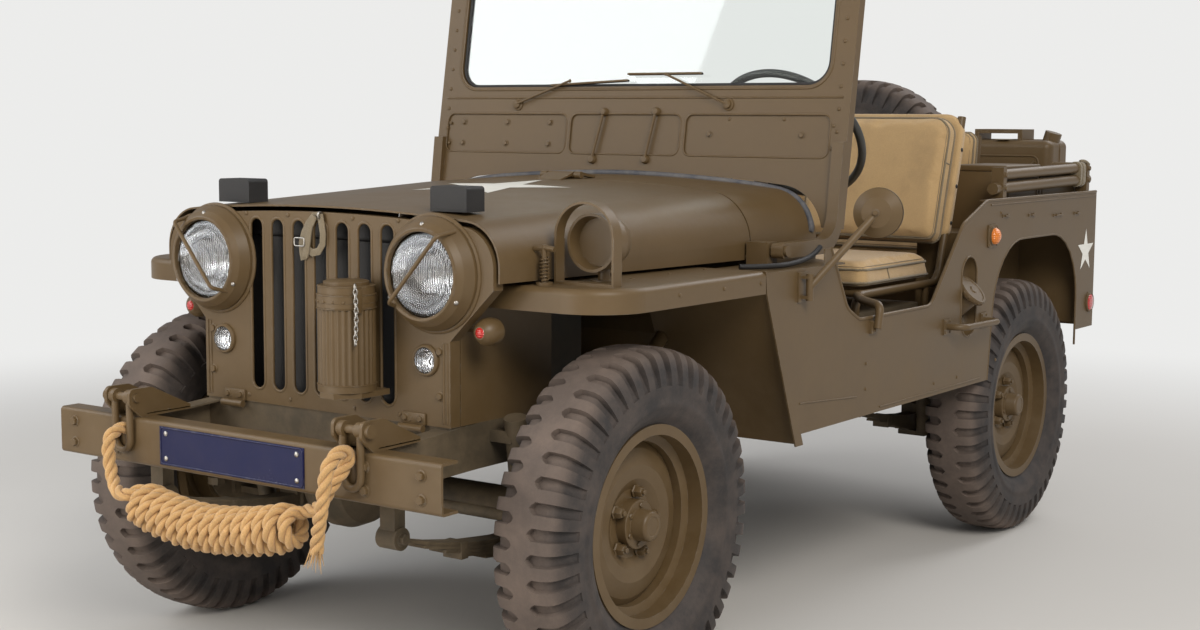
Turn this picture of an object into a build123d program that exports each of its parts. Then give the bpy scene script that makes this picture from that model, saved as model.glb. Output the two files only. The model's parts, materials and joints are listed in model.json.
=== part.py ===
from build123d import *
import os
from math import cos, hypot, radians, sin, sqrt, tan

# An open army 4x4 car at full size, in millimetres.
# +X forward, +Y to the vehicle's left, +Z up. The ground is Z = 0, Y = 0 is the centreline
# and X = 0 is halfway between the bumper and the spare wheel.

os.makedirs("parts", exist_ok=True)

# Overall plan
WHEELBASE = 2032.0
TRACK = 1250.0
BODY_HALF_W = 725.0
FRONT_AXLE_X = 1092.0
REAR_AXLE_X = FRONT_AXLE_X - WHEELBASE
SHEET = 4.0
SEAT_GAP = 0.3
RUNNING_FIT = 0.05

# Wheels and tyres, 7.00-16 on a 16 inch rim
TYRE_R = 386.0
TYRE_HALF_W = 93.0
TREAD_HALF_W = 74.0
BEAD_R = 203.0
FLANGE_R = 221.0
RIM_HALF_W = 66.0
RIM_SHEET = 5.0
WELL_R = 185.0
AXLE_Z = TYRE_R
SPINDLE_R = 20.0
DRUM_R = 128.0
DRUM_DEPTH = 58.0
HUB_CAP_R = 34.0
DISC_HOLE_R = 54.0

# Frame rails and bumper
RAIL_OUT_Y = 372.0
RAIL_W = 45.0
RAIL_LOW = 506.0
RAIL_TOP = 606.0
TAPER_X = FRONT_AXLE_X + 200.0
HORN_LOW = 498.0
HORN_TOP = 585.0
BUMPER_X = FRONT_AXLE_X + 554.0
BUMPER_HALF_W = 570.0
BUMPER_LOW = 490.0
BUMPER_TOP = 595.0
BUMPER_DEPTH = 50.0
BUMPER_SHEET = 6.0
BRACKET_Y = 345.0
SHACKLE_PIN_R = 9.0
SHACKLE_ROD_R = 8.0
SHACKLE_PIN_Z = 640.0
LEG_Y = 24.0
BRACKET_T = 8.0

# Grille and front lamps
GRILLE_X = FRONT_AXLE_X + 292.0
GRILLE_DEPTH = 32.0
GRILLE_HALF_W = 488.0
GRILLE_LOW_HALF_W = 372.0
GRILLE_LOW = 606.0
GRILLE_TOP = 1048.0
SLOT_COUNT = 7
SLOT_PITCH = 66.0
SLOT_W = 38.0
SLOT_LOW = 640.0
SLOT_TOP = 1028.0
HEADLAMP_Y = 329.0
HEADLAMP_Z = 931.0
BEZEL_R = 121.0
LENS_R = 90.0
MARKER_Y = 307.0
MARKER_Z = 746.0
MARKER_R = 27.0

# Hood and cowl
HOOD_FRONT_X = GRILLE_X - 6.0
HOOD_REAR_X = FRONT_AXLE_X - 594.0
COWL_X = HOOD_REAR_X - 6.0
COWL_REAR_X = FRONT_AXLE_X - 862.0
HOOD_LOW = 918.0
HOOD_FRONT_TOP = 1062.0
HOOD_REAR_TOP = 1101.0
HOOD_FRONT_HALF_W = 500.0
HOOD_REAR_HALF_W = 570.0
COWL_REAR_HALF_W = 606.0
CROWN_R = 5000.0
HOOD_CORNER_R = 95.0
COWL_CORNER_R = 125.0
BLOCK_X = FRONT_AXLE_X + 211.0
BLOCK_Y = 325.0
BLOCK_TOP = 1112.0

# Fenders
FENDER_TOP = 910.0
FENDER_LIP_LOW = 858.0
FENDER_FRONT_X = FRONT_AXLE_X + 215.0
FENDER_REAR_X = FRONT_AXLE_X - 402.0
FENDER_OUT_Y = BODY_HALF_W + 3.0
FENDER_IN_Y = 376.0
SKIRT_FOOT_X = FRONT_AXLE_X - 592.0
SKIRT_FOOT_Z = 480.0

# Tub
BODY_LOW = 507.0
FLOOR_Z = RAIL_TOP
SILL_Z = 756.0
SHOULDER_Z = 905.0
TOP_RAIL_Z = 1027.0
BODY_REAR_X = FRONT_AXLE_X - 2545.0
REAR_LOW = 588.0
WHEELHOUSE_Y = TRACK / 2 - TYRE_HALF_W - 32.0
WHEELHOUSE_FRONT_X = FRONT_AXLE_X - 1680.0
WHEELHOUSE_REAR_X = FRONT_AXLE_X - 2450.0
WHEELHOUSE_TOP = 930.0

# Windshield, in its own leaning plane
WINDSHIELD_X = FRONT_AXLE_X - 884.0
WINDSHIELD_Z = 1153.0
WINDSHIELD_RAKE = 9.07
WINDSHIELD_HALF_W = BODY_HALF_W - 53.0
WINDSHIELD_TOP = 1735.0
WINDSHIELD_T = 28.0
GLASS_HALF_W = 605.0
GLASS_LOW = 1343.0
GLASS_H = 332.0
GLASS_TOP = GLASS_LOW + GLASS_H
GLASS_T = 6.0
HINGE_X = FRONT_AXLE_X - 590.0
HINGE_Z = 943.0
HINGE_PIN_R = 8.0

# Seats and steering
SEAT_Y = 380.0
SEAT_W = 470.0
SEAT_RAIL_Z = 792.0
SEAT_TUBE_R = 12.0
SEAT_LEG_R = 10.0
SEAT_PIVOT_X = FRONT_AXLE_X - 1100.0
SEAT_PIN_R = 6.0
STEER_X = FRONT_AXLE_X - 1110.0
STEER_Y = 390.0
STEER_Z = 1215.0
STEER_R = 215.0
COLUMN_SLOPE = 38.0
COLUMN_R = 17.0
SHAFT_R = 10.0
KINGPIN_Y = TRACK / 2 - 135.0
KINGPIN_R = 10.0
KINGPIN_REACH = 78.0
TIE_ROD_X = FRONT_AXLE_X + 160.0
TIE_ROD_Z = 402.0
STUD_R = 8.0

# Rear load
SPARE_X = FRONT_AXLE_X - 2662.0
SPARE_Y = -180.0
SPARE_Z = 1010.0
CAN_Y = 385.0
CAN_LOW = 762.0
CAN_SIZE = (165.0, 345.0, 468.0)
CAN_X = FRONT_AXLE_X - 2644.0
HOOK_Z = 556.0
EYE_R = 16.0
EYE_T = 14.0

# Front load
CANISTER_R = 63.0
CANISTER_Y = 142.0
ROPE_R = 15.0
HANK_R = 52.0
RISER_R = 38.0
BOW_X = BUMPER_X + 9.0
BOW_LOW = SHACKLE_PIN_Z - 95.0
HANK_X = BOW_X + SHACKLE_ROD_R + RISER_R + SEAT_GAP


def block(x, y, z):
    """A box from three (low, high) pairs."""
    size = [max(pair) - min(pair) for pair in (x, y, z)]
    centre = [sum(pair) / 2 for pair in (x, y, z)]
    return Pos(*centre) * Box(*size)


def outline_face(points, radii=0):
    """A closed flat outline; radii is one value or one for each corner."""
    if radii == 0:
        return make_face(Polyline(*points, close=True))
    return make_face(FilletPolyline(*points, radius=radii, close=True))


def prism_xz(points, y_low, y_high, radii=0):
    """An outline of (x, z) points, extruded along Y."""
    return extrude(Plane.XZ.offset(-y_low) * outline_face(points, radii), y_low - y_high)


def prism_yz(points, x_low, x_high, radii=0):
    """An outline of (y, z) points, extruded along X."""
    return extrude(Plane.YZ.offset(x_low) * outline_face(points, radii), x_high - x_low)


def prism_xy(points, z_low, z_high, radii=0):
    """An outline of (x, y) points, extruded along Z."""
    return extrude(Plane.XY.offset(z_low) * outline_face(points, radii), z_high - z_low)


def turned_y(profile):
    """A ring or disc about the Y axis, from (y, radius) points."""
    points = [(0, y, r) for y, r in profile]
    return revolve(make_face(Polyline(*points, close=True)), axis=Axis.Y)


def turned_x(profile):
    """A ring or disc about the X axis, from (x, radius) points."""
    points = [(x, 0, r) for x, r in profile]
    return revolve(make_face(Polyline(*points, close=True)), axis=Axis.X)


def rod(start, end, radius):
    """A round bar between two points."""
    start, end = Vector(*start), Vector(*end)
    plane = Plane(origin=start, z_dir=end - start)
    return extrude(plane * Circle(radius), (end - start).length)


def bent_tube(points, radius, bend):
    """A round bar along straight runs with rounded corners."""
    path = FilletPolyline(*points, radius=bend)
    section = Plane(origin=path @ 0, z_dir=path % 0) * Circle(radius)
    return sweep(section, path=path)


def fused(pieces):
    """One shape from pieces that touch or overlap."""
    whole = pieces[0]
    for piece in pieces[1:]:
        whole = whole + piece
    return whole


def group(pieces):
    """Separate solids kept together in one node."""
    solids = [solid for piece in pieces for solid in piece.solids()]
    return Compound(children=solids)


def other_side(shape):
    """The same piece on the vehicle's other side."""
    return mirror(shape, about=Plane.XZ)


def arch_face(x, half_w, top, corner_r, low, crown_r=CROWN_R):
    """A hood section: flat sides, round shoulders and a slightly crowned top."""
    crown_z = top - crown_r
    centre_y = half_w - corner_r
    centre_z = crown_z + sqrt((crown_r - corner_r) ** 2 - centre_y ** 2)
    reach = hypot(centre_y, centre_z - crown_z)
    unit_y, unit_z = centre_y / reach, (centre_z - crown_z) / reach
    join = (crown_r * unit_y, crown_z + crown_r * unit_z)
    half = hypot(1 + unit_y, unit_z)
    bulge = (centre_y + corner_r * (1 + unit_y) / half, centre_z + corner_r * unit_z / half)
    right = [
        Line((half_w, low), (half_w, centre_z)),
        ThreePointArc((half_w, centre_z), bulge, join),
    ]
    left = [
        ThreePointArc((-join[0], join[1]), (-bulge[0], bulge[1]), (-half_w, centre_z)),
        Line((-half_w, centre_z), (-half_w, low)),
    ]
    crown = ThreePointArc(join, (0, top), (-join[0], join[1]))
    base = Line((-half_w, low), (half_w, low))
    return Plane.YZ.offset(x) * make_face([base, *right, crown, *left])


def arch_shell(front, rear):
    """A sheet metal arch between two sections given as (x, half width, top, corner radius, low)."""
    outer = loft([arch_face(*front), arch_face(*rear)], ruled=True)
    inner_faces = []
    for section, beyond in ((front, 1), (rear, -1)):
        x, half_w, top, corner_r, low = section
        inner_faces.append(arch_face(x + beyond, half_w - SHEET, top - SHEET, corner_r - SHEET, low - 1,
                                     CROWN_R - SHEET))
    return outer - loft(inner_faces, ruled=True)


def in_windshield(shape):
    """Stand a piece modelled on the upright plane X = 0, Z = 0 in the windshield's leaning plane."""
    return Pos(WINDSHIELD_X, 0, WINDSHIELD_Z) * Rot(0, -WINDSHIELD_RAKE, 0) * shape


def up_windshield(z):
    """Distance up the leaning plane at which it reaches the height z."""
    return (z - WINDSHIELD_Z) / cos(radians(WINDSHIELD_RAKE))


# Chassis

def make_frame():
    """Two channel rails and their crossmembers."""
    front = BUMPER_X - BUMPER_SHEET
    rear = BODY_REAR_X + SHEET
    outer = [(front, HORN_LOW), (TAPER_X, RAIL_LOW), (rear, RAIL_LOW), (rear, RAIL_TOP), (TAPER_X, RAIL_TOP),
             (front, HORN_TOP)]
    inner = [(front + 1, HORN_LOW + SHEET), (TAPER_X, RAIL_LOW + SHEET), (rear - 1, RAIL_LOW + SHEET),
             (rear - 1, RAIL_TOP - SHEET), (TAPER_X, RAIL_TOP - SHEET), (front + 1, HORN_TOP - SHEET)]
    rail_in_y = RAIL_OUT_Y - RAIL_W
    rail = prism_xz(outer, rail_in_y, RAIL_OUT_Y)
    rail -= prism_xz(inner, rail_in_y - 1, RAIL_OUT_Y - SHEET)
    pieces = [rail, other_side(rail)]
    # centre x, length along x, low z, high z
    members = [(GRILLE_X - 46.0, 84, 514, GRILLE_LOW), (FRONT_AXLE_X - 1250.0, 60, 512, 560),
               (REAR_AXLE_X + 520.0, 60, 512, 598), (REAR_AXLE_X - 350.0, 60, 530, 598),
               (BODY_REAR_X + SHEET + 35.0, 70, 512, 600)]
    for x, length, low, high in members:
        web = RAIL_OUT_Y - SHEET / 2
        pieces.append(block((x - length / 2, x + length / 2), (-web, web), (low, high)))
    return fused(pieces)


def make_front_bumper():
    """The channel bumper with the two shackle brackets on it."""
    x_back = BUMPER_X - BUMPER_DEPTH
    bar = block((x_back, BUMPER_X), (-BUMPER_HALF_W, BUMPER_HALF_W), (BUMPER_LOW, BUMPER_TOP))
    front_edges = bar.edges().filter_by(Axis.Y).group_by(Axis.X)[-1]
    bar = fillet(front_edges, 9)
    bar -= block((x_back - 1, BUMPER_X - BUMPER_SHEET), (-BUMPER_HALF_W - 1, BUMPER_HALF_W + 1),
                 (BUMPER_LOW + BUMPER_SHEET, BUMPER_TOP - BUMPER_SHEET))
    outline = [(BUMPER_X - 150, BUMPER_TOP + 2), (BUMPER_X - 10, BUMPER_TOP - 1), (BUMPER_X + 24, SHACKLE_PIN_Z - 14),
               (BUMPER_X + 24, SHACKLE_PIN_Z + 20), (BUMPER_X - 40, SHACKLE_PIN_Z + 20),
               (BUMPER_X - 150, BUMPER_TOP + 12)]
    pieces = [bar]
    pin_x = BUMPER_X + 6.0
    hole = rod((pin_x, -500, SHACKLE_PIN_Z), (pin_x, 500, SHACKLE_PIN_Z), SHACKLE_PIN_R + 0.5)
    for side in (-1, 1):
        for offset in (LEG_Y + 10, -LEG_Y - 10 - BRACKET_T):
            y = side * BRACKET_Y + offset
            pieces.append(prism_xz(outline, y, y + BRACKET_T, [0, 0, 12, 14, 30, 0]) - hole)
    return fused(pieces)


def make_tow_shackles():
    """The bow and pin on each bracket."""
    pin_x = BUMPER_X + 6.0
    pieces = []
    for side in (-1, 1):
        y = side * BRACKET_Y
        low = Vector(BOW_X, y + LEG_Y, BOW_LOW)
        ring = revolve(Plane(origin=low, z_dir=(0, 0, 1)) * Circle(SHACKLE_ROD_R), Axis((BOW_X, y, BOW_LOW), (1, 0, 0)), -180)
        legs = [rod((BOW_X, y + leg, BOW_LOW), (BOW_X, y + leg, SHACKLE_PIN_Z), SHACKLE_ROD_R) for leg in (-LEG_Y, LEG_Y)]
        pin = rod((pin_x, y - LEG_Y - 24, SHACKLE_PIN_Z), (pin_x, y + LEG_Y + 24, SHACKLE_PIN_Z), SHACKLE_PIN_R)
        eyes = [rod((pin_x, y + leg - 8, SHACKLE_PIN_Z), (pin_x, y + leg + 8, SHACKLE_PIN_Z), 16) for leg in (-LEG_Y, LEG_Y)]
        head_y = y + side * (LEG_Y + 10 + BRACKET_T)
        head = rod((pin_x, head_y + side * SEAT_GAP, SHACKLE_PIN_Z), (pin_x, head_y + side * 10, SHACKLE_PIN_Z), 14)
        pieces.append(fused([ring, *legs, *eyes, pin, head]))
    return group(pieces)


def make_number_plate():
    """The blank plate on the bumper's face."""
    return block((BUMPER_X, BUMPER_X + 2), (-232, 205), (BUMPER_LOW + 10, BUMPER_TOP - 10))


def make_grille():
    """The pressed front panel with its upright slots."""
    arch = arch_face(0, GRILLE_HALF_W, GRILLE_TOP, HOOD_CORNER_R - 8, 903)
    lower = [(-GRILLE_LOW_HALF_W, GRILLE_LOW), (GRILLE_LOW_HALF_W, GRILLE_LOW), (GRILLE_LOW_HALF_W, 790),
             (GRILLE_HALF_W, 903.5), (-GRILLE_HALF_W, 903.5), (-GRILLE_LOW_HALF_W, 790)]
    back = GRILLE_X - GRILLE_DEPTH
    outer = Pos(back, 0, 0) * extrude(arch, GRILLE_DEPTH) + prism_yz(lower, back, GRILLE_X)
    inner_arch = arch_face(0, GRILLE_HALF_W - SHEET, GRILLE_TOP - SHEET, HOOD_CORNER_R - 8 - SHEET, 905,
                           CROWN_R - SHEET)
    inner_half = GRILLE_LOW_HALF_W - SHEET
    inner = [(-inner_half, GRILLE_LOW + SHEET), (inner_half, GRILLE_LOW + SHEET), (inner_half, 792),
             (GRILLE_HALF_W - SHEET, 905.5), (SHEET - GRILLE_HALF_W, 905.5), (-inner_half, 792)]
    depth = GRILLE_DEPTH - SHEET + 1
    cavity = Pos(back - 1, 0, 0) * extrude(inner_arch, depth) + prism_yz(inner, back - 1, GRILLE_X - SHEET)
    plate = outer - cavity
    middle = (SLOT_COUNT - 1) / 2
    for index in range(SLOT_COUNT):
        y = (index - middle) * SLOT_PITCH
        slot = SlotOverall(SLOT_TOP - SLOT_LOW, SLOT_W, rotation=90)
        face = Plane.YZ.offset(GRILLE_X - SHEET - 2) * Pos(y, (SLOT_TOP + SLOT_LOW) / 2) * slot
        plate -= extrude(face, SHEET + 4)
    for side in (-1, 1):
        lamp = Pos(GRILLE_X - SHEET - 2, side * HEADLAMP_Y, HEADLAMP_Z) * Rot(0, 90, 0)
        plate -= lamp * Pos(0, 0, (SHEET + 4) / 2) * Cylinder(84, SHEET + 4)
        marker = Pos(GRILLE_X - SHEET - 2, side * MARKER_Y, MARKER_Z) * Rot(0, 90, 0)
        plate -= marker * Pos(0, 0, (SHEET + 4) / 2) * Cylinder(MARKER_R - 5, SHEET + 4)
    return plate


def make_headlamps():
    """Bezels and bowls of both headlamps, their guard bars, and the blackout lamp with its guard hoop."""
    ring = [(0, 86), (0, BEZEL_R), (12, BEZEL_R), (34, 110), (46, 99), (46, LENS_R + SEAT_GAP),
            (30, LENS_R + SEAT_GAP), (30, 86)]
    bowl = [(0, 80), (0, 86), (4, 86), (4, 83.5), (-4, 83.5), (-60, 50), (-74, 0.01), (-70, 0.01), (-57, 48),
            (-2, 80)]
    pieces = []
    for side in (-1, 1):
        spot = Pos(GRILLE_X, side * HEADLAMP_Y, HEADLAMP_Z)
        lamp = spot * (turned_x(ring) + turned_x(bowl))
        y = side * HEADLAMP_Y
        bar = bent_tube([(GRILLE_X + 20, y + side * 74, HEADLAMP_Z + 92), (GRILLE_X + 70, y + side * 66, HEADLAMP_Z + 84),
                         (GRILLE_X + 76, y - side * 60, HEADLAMP_Z - 60), (GRILLE_X + 20, y - side * 78, HEADLAMP_Z - 76)],
                        4.5, 14)
        pieces.append(lamp + bar)
    pieces.append(make_blackout_lamp())
    return group(pieces)


def make_blackout_lamp():
    """The small hooded lamp on the left fender, inside its flat strap hoop."""
    x, y, z = FRONT_AXLE_X + 125.0, 605.0, 998.0
    half, top = 76.0, 1085.0
    outer = [(y - half, FENDER_TOP), (y + half, FENDER_TOP), (y + half, top), (y - half, top)]
    round_r = half - 1
    inner = [(y - half + 5, FENDER_TOP + 6), (y + half - 5, FENDER_TOP + 6), (y + half - 5, top - 5), (y - half + 5, top - 5)]
    hoop = prism_yz(outer, x - 15, x + 15, [0, 0, round_r, round_r]) - prism_yz(inner, x - 16, x + 16, [0, 0, round_r - 5, round_r - 5])
    drum = Pos(x, y, z) * turned_x([(-100, 0), (-92, 48), (-60, 60), (-12, 62), (-12, 56), (-40, 50), (-40, 0)])
    stem = rod((x - 60, y, FENDER_TOP), (x - 60, y, z - 50), 13)
    foot = rod((x - 60, y, FENDER_TOP), (x - 60, y, FENDER_TOP + 8), 30)
    return fused([drum, stem, foot, hoop, block((x - 60, x), (y - 12, y + 12), (FENDER_TOP, FENDER_TOP + 6))])


def make_lamp_lenses():
    """Clear lenses of the headlamps and of the marker lamps below them."""
    headlamp = turned_x([(30, 0), (30, LENS_R), (37, LENS_R), (48, 66), (55, 34), (57, 0)])
    marker = turned_x([(0, 0), (0, MARKER_R), (9, MARKER_R), (18, 18), (21, 0)])
    pieces = []
    for side in (-1, 1):
        pieces.append(Pos(GRILLE_X, side * HEADLAMP_Y, HEADLAMP_Z) * headlamp)
        pieces.append(Pos(GRILLE_X, side * MARKER_Y, MARKER_Z) * marker)
    return group(pieces)


def make_radiator():
    """The core and its top tank, standing on the front crossmember."""
    x = (GRILLE_X - GRILLE_DEPTH - 62.0, GRILLE_X - GRILLE_DEPTH - 10.0)
    core = block(x, (-255, 255), (GRILLE_LOW, 985))
    tank = block((x[0] - 6, x[1] + 2), (-250, 250), (985, 1035))
    return fillet(tank.edges().filter_by(Axis.Y), 10) + core


def make_engine():
    """The engine as one plain block, with the fan's hub towards the radiator."""
    body = block((FRONT_AXLE_X - 480.0, FRONT_AXLE_X + 150.0), (-150, 150), (522, 900))
    head = block((FRONT_AXLE_X - 440.0, FRONT_AXLE_X + 120.0), (-100, 100), (900, 975))
    fan = rod((FRONT_AXLE_X + 150.0, 0, 820), (FRONT_AXLE_X + 185.0, 0, 820), 45)
    mounts = [block((FRONT_AXLE_X - 20.0, FRONT_AXLE_X + 40.0), (side * 150, side * (RAIL_OUT_Y - SHEET)), (540, 600)) for side in (-1, 1)]
    return fused([body, head, fan, *mounts])


def make_driveline():
    """Gearbox, transfer case and the two propeller shafts."""
    gearbox = block((FRONT_AXLE_X - 860.0, FRONT_AXLE_X - 480.0), (-110, 110), (440, 596))
    transfer = block((FRONT_AXLE_X - 1010.0, FRONT_AXLE_X - 860.0), (-250, 90), (400, 590))
    mount = block((FRONT_AXLE_X - 940.0, FRONT_AXLE_X - 880.0), (SHEET - RAIL_OUT_Y, RAIL_OUT_Y - SHEET), (520, 560))
    # (x, y, z) of each end; the front shaft and the rear shaft
    front = rod((FRONT_AXLE_X - 868.0, -190, 425), (FRONT_AXLE_X - 140.0, -190, AXLE_Z + 10), 24)
    rear = rod((FRONT_AXLE_X - 1008.0, -190, 430), (REAR_AXLE_X + 160.0, -190, AXLE_Z + 10), 24)
    return fused([gearbox, transfer, mount, front, rear])


def make_axles():
    """The front and rear axle housings."""
    pieces = []
    for x, end in ((FRONT_AXLE_X, KINGPIN_Y - 30.0), (REAR_AXLE_X, TRACK / 2 - 64.0)):
        tube = rod((x, -end, AXLE_Z), (x, end, AXLE_Z), 38)
        bowl = Pos(x, -190, AXLE_Z) * turned_y([(-98, 0), (-98, 60), (-60, 105), (-20, 120), (20, 120), (60, 105), (98, 60), (98, 0)])
        nose_side = -1 if x == FRONT_AXLE_X else 1
        nose = rod((x, -190, AXLE_Z), (x + nose_side * 139.0, -190, AXLE_Z + 10), 52)
        pads = [block((x - 55, x + 55), (side * 350 - 30, side * 350 + 30), (AXLE_Z - 52, AXLE_Z - 20)) for side in (-1, 1)]
        pieces.append(fused([tube, bowl, nose, *pads]))
    front, rear = pieces
    for side in (-1, 1):
        y = side * KINGPIN_Y
        front += Pos(FRONT_AXLE_X, y, AXLE_Z) * Sphere(48)
        front += rod((FRONT_AXLE_X, y, AXLE_Z - KINGPIN_REACH), (FRONT_AXLE_X, y, AXLE_Z + KINGPIN_REACH), KINGPIN_R)
        rear += rod((REAR_AXLE_X, side * (TRACK / 2 - 66.0), AXLE_Z), (REAR_AXLE_X, side * (TRACK / 2 - 61.0), AXLE_Z), 120)
        rear += rod((REAR_AXLE_X, side * (TRACK / 2 - 66.0), AXLE_Z), (REAR_AXLE_X, side * (TRACK / 2 - 6.0), AXLE_Z), SPINDLE_R)
    return group([front, rear])


def rail_low(x):
    """Height of the frame rail's underside at x."""
    if x <= TAPER_X:
        return RAIL_LOW
    return RAIL_LOW + (HORN_LOW - RAIL_LOW) * (x - TAPER_X) / (BUMPER_X - BUMPER_SHEET - TAPER_X)


def make_suspension():
    """Leaf packs under the axles with their hangers, and the shock absorbers."""
    pieces = []
    pad_z = AXLE_Z - 52.0
    reach, rise = 450.0, 66.0
    # axle x, shock absorber's top x and top z
    for x, shock_x, shock_top in ((FRONT_AXLE_X, FRONT_AXLE_X + 146.0, RAIL_TOP + 10), (REAR_AXLE_X, REAR_AXLE_X + 146.0, RAIL_TOP - 16)):
        top = [(x - reach, pad_z + rise), (x, pad_z), (x + reach, pad_z + rise)]
        low = [(x + reach - 20, pad_z + rise - 9), (x + 200, pad_z - 22), (x + 60, pad_z - 52), (x - 60, pad_z - 52),
               (x - 200, pad_z - 22), (x - reach + 20, pad_z + rise - 9)]
        edge = [ThreePointArc(top[0], top[1], top[2]), Polyline(top[2], *low, top[0])]
        leaf = extrude(Plane.XZ.offset(-327.5) * make_face(edge), -45)
        leaf -= block((x - 60, x + 60), (320, 380), (pad_z, pad_z + 20))
        for end in (-1, 1):
            eye_x, eye_z = x + end * reach, pad_z + rise
            leaf += rod((eye_x, 324, eye_z), (eye_x, 376, eye_z), 24)
            leaf += prism_xz([(eye_x - 16, eye_z), (eye_x + 16, eye_z), (eye_x + 16, rail_low(eye_x + 16)),
                              (eye_x - 16, rail_low(eye_x - 16))], 330, 370)
        foot = (x + 60, 398, pad_z - 60)
        head = (shock_x, 430, shock_top)
        middle = tuple((a + b) / 2 for a, b in zip(foot, head))
        shock = rod(foot, head, 12) + rod(middle, head, 25) + rod(foot, middle, 20)
        shock += block((shock_x - 15, shock_x + 15), (RAIL_OUT_Y, 430), (RAIL_TOP - 46, RAIL_TOP - 20))
        plate = block((x - 60, x + 75), (320, 410), (pad_z - 66, pad_z - 52))
        pieces.append(fused([leaf, plate, shock]))
    return group(pieces + [other_side(piece) for piece in pieces])


def make_exhaust():
    """The silencer and tail pipe on the right, below the floor."""
    silencer = rod((FRONT_AXLE_X - 1380.0, -460, 520), (FRONT_AXLE_X - 880.0, -460, 520), 58)
    pipe = bent_tube([(FRONT_AXLE_X - 881.0, -460, 510), (FRONT_AXLE_X - 800.0, -460, 488), (FRONT_AXLE_X - 640.0, -250, 462),
                      (FRONT_AXLE_X - 430.0, -174, 565)], 22, [40, 80])
    tail = bent_tube([(FRONT_AXLE_X - 1379.0, -460, 520), (FRONT_AXLE_X - 1500.0, -460, 520),
                      (FRONT_AXLE_X - 1590.0, -640, 500)], 20, 60)
    hanger = block((FRONT_AXLE_X - 1140.0, FRONT_AXLE_X - 1110.0), (-470, -450), (570, FLOOR_Z))
    return fused([silencer, pipe, tail, hanger])


def make_fuel_tank():
    """The tank on the floor under the driver's seat."""
    tank = block((FRONT_AXLE_X - 1500.0, FRONT_AXLE_X - 1130.0), (175, 600), (FLOOR_Z + SHEET, 742))
    return fillet(tank.edges().filter_by(Axis.Z), 25)


# Body panels

def skirt_x(z):
    """X of the fender skirt's rear face at the height z."""
    top_x = FENDER_REAR_X - 2.0
    return top_x + (SKIRT_FOOT_X - top_x) * (FENDER_TOP - z) / (FENDER_TOP - SKIRT_FOOT_Z)


def make_fender():
    """The left fender: flat top, outer lip, sloping rear skirt and inner apron."""
    plan = [(FENDER_FRONT_X, FENDER_IN_Y), (FENDER_FRONT_X, FENDER_OUT_Y), (FENDER_REAR_X, FENDER_OUT_Y),
            (FENDER_REAR_X, FENDER_IN_Y)]
    shell = prism_xy(plan, FENDER_LIP_LOW, FENDER_TOP, [0, 125, 0, 0])
    top_edges = shell.edges().group_by(Axis.Z)[-1]
    keep = [edge for edge in top_edges if edge.center().Y > FENDER_IN_Y + 20 and edge.center().X > FENDER_REAR_X + 20]
    shell = fillet(keep, 14)
    inset = FENDER_FRONT_X - SHEET
    hollow = [(inset, FENDER_IN_Y - 1), (inset, FENDER_OUT_Y - SHEET), (FENDER_REAR_X - 1, FENDER_OUT_Y - SHEET),
              (FENDER_REAR_X - 1, FENDER_IN_Y - 1)]
    cavity = prism_xy(hollow, FENDER_LIP_LOW - 1, FENDER_TOP - SHEET, [0, 125 - SHEET, 0, 0])
    cavity_top = cavity.edges().group_by(Axis.Z)[-1]
    keep = [edge for edge in cavity_top if edge.center().Y > FENDER_IN_Y + 20 and edge.center().X > FENDER_REAR_X + 20]
    shell -= fillet(keep, 10)
    skirt = prism_xz([(FENDER_REAR_X + 3, FENDER_TOP), (SKIRT_FOOT_X + 5, SKIRT_FOOT_Z), (SKIRT_FOOT_X, SKIRT_FOOT_Z),
                      (FENDER_REAR_X - 2, FENDER_TOP)], FENDER_IN_Y, FENDER_OUT_Y)
    flange = prism_xz([(FENDER_REAR_X, FENDER_TOP - 2), (FENDER_REAR_X - 6, FENDER_LIP_LOW), (SKIRT_FOOT_X + 36, SKIRT_FOOT_Z),
                       (SKIRT_FOOT_X + 2, SKIRT_FOOT_Z)], FENDER_OUT_Y - SHEET, FENDER_OUT_Y)
    apron = prism_xz([(FRONT_AXLE_X + 258.0, RAIL_TOP), (FRONT_AXLE_X - 60.0, RAIL_TOP), (FRONT_AXLE_X - 60.0, FENDER_TOP - 1),
                      (FENDER_FRONT_X, FENDER_TOP - 1), (FRONT_AXLE_X + 258.0, 800)], RAIL_OUT_Y - SHEET, RAIL_OUT_Y)
    apron += block((FRONT_AXLE_X - 60.0, FENDER_FRONT_X), (RAIL_OUT_Y - SHEET, FENDER_IN_Y + 2), (FENDER_TOP - SHEET, FENDER_TOP))
    return fused([shell, skirt, flange, apron])


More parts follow.
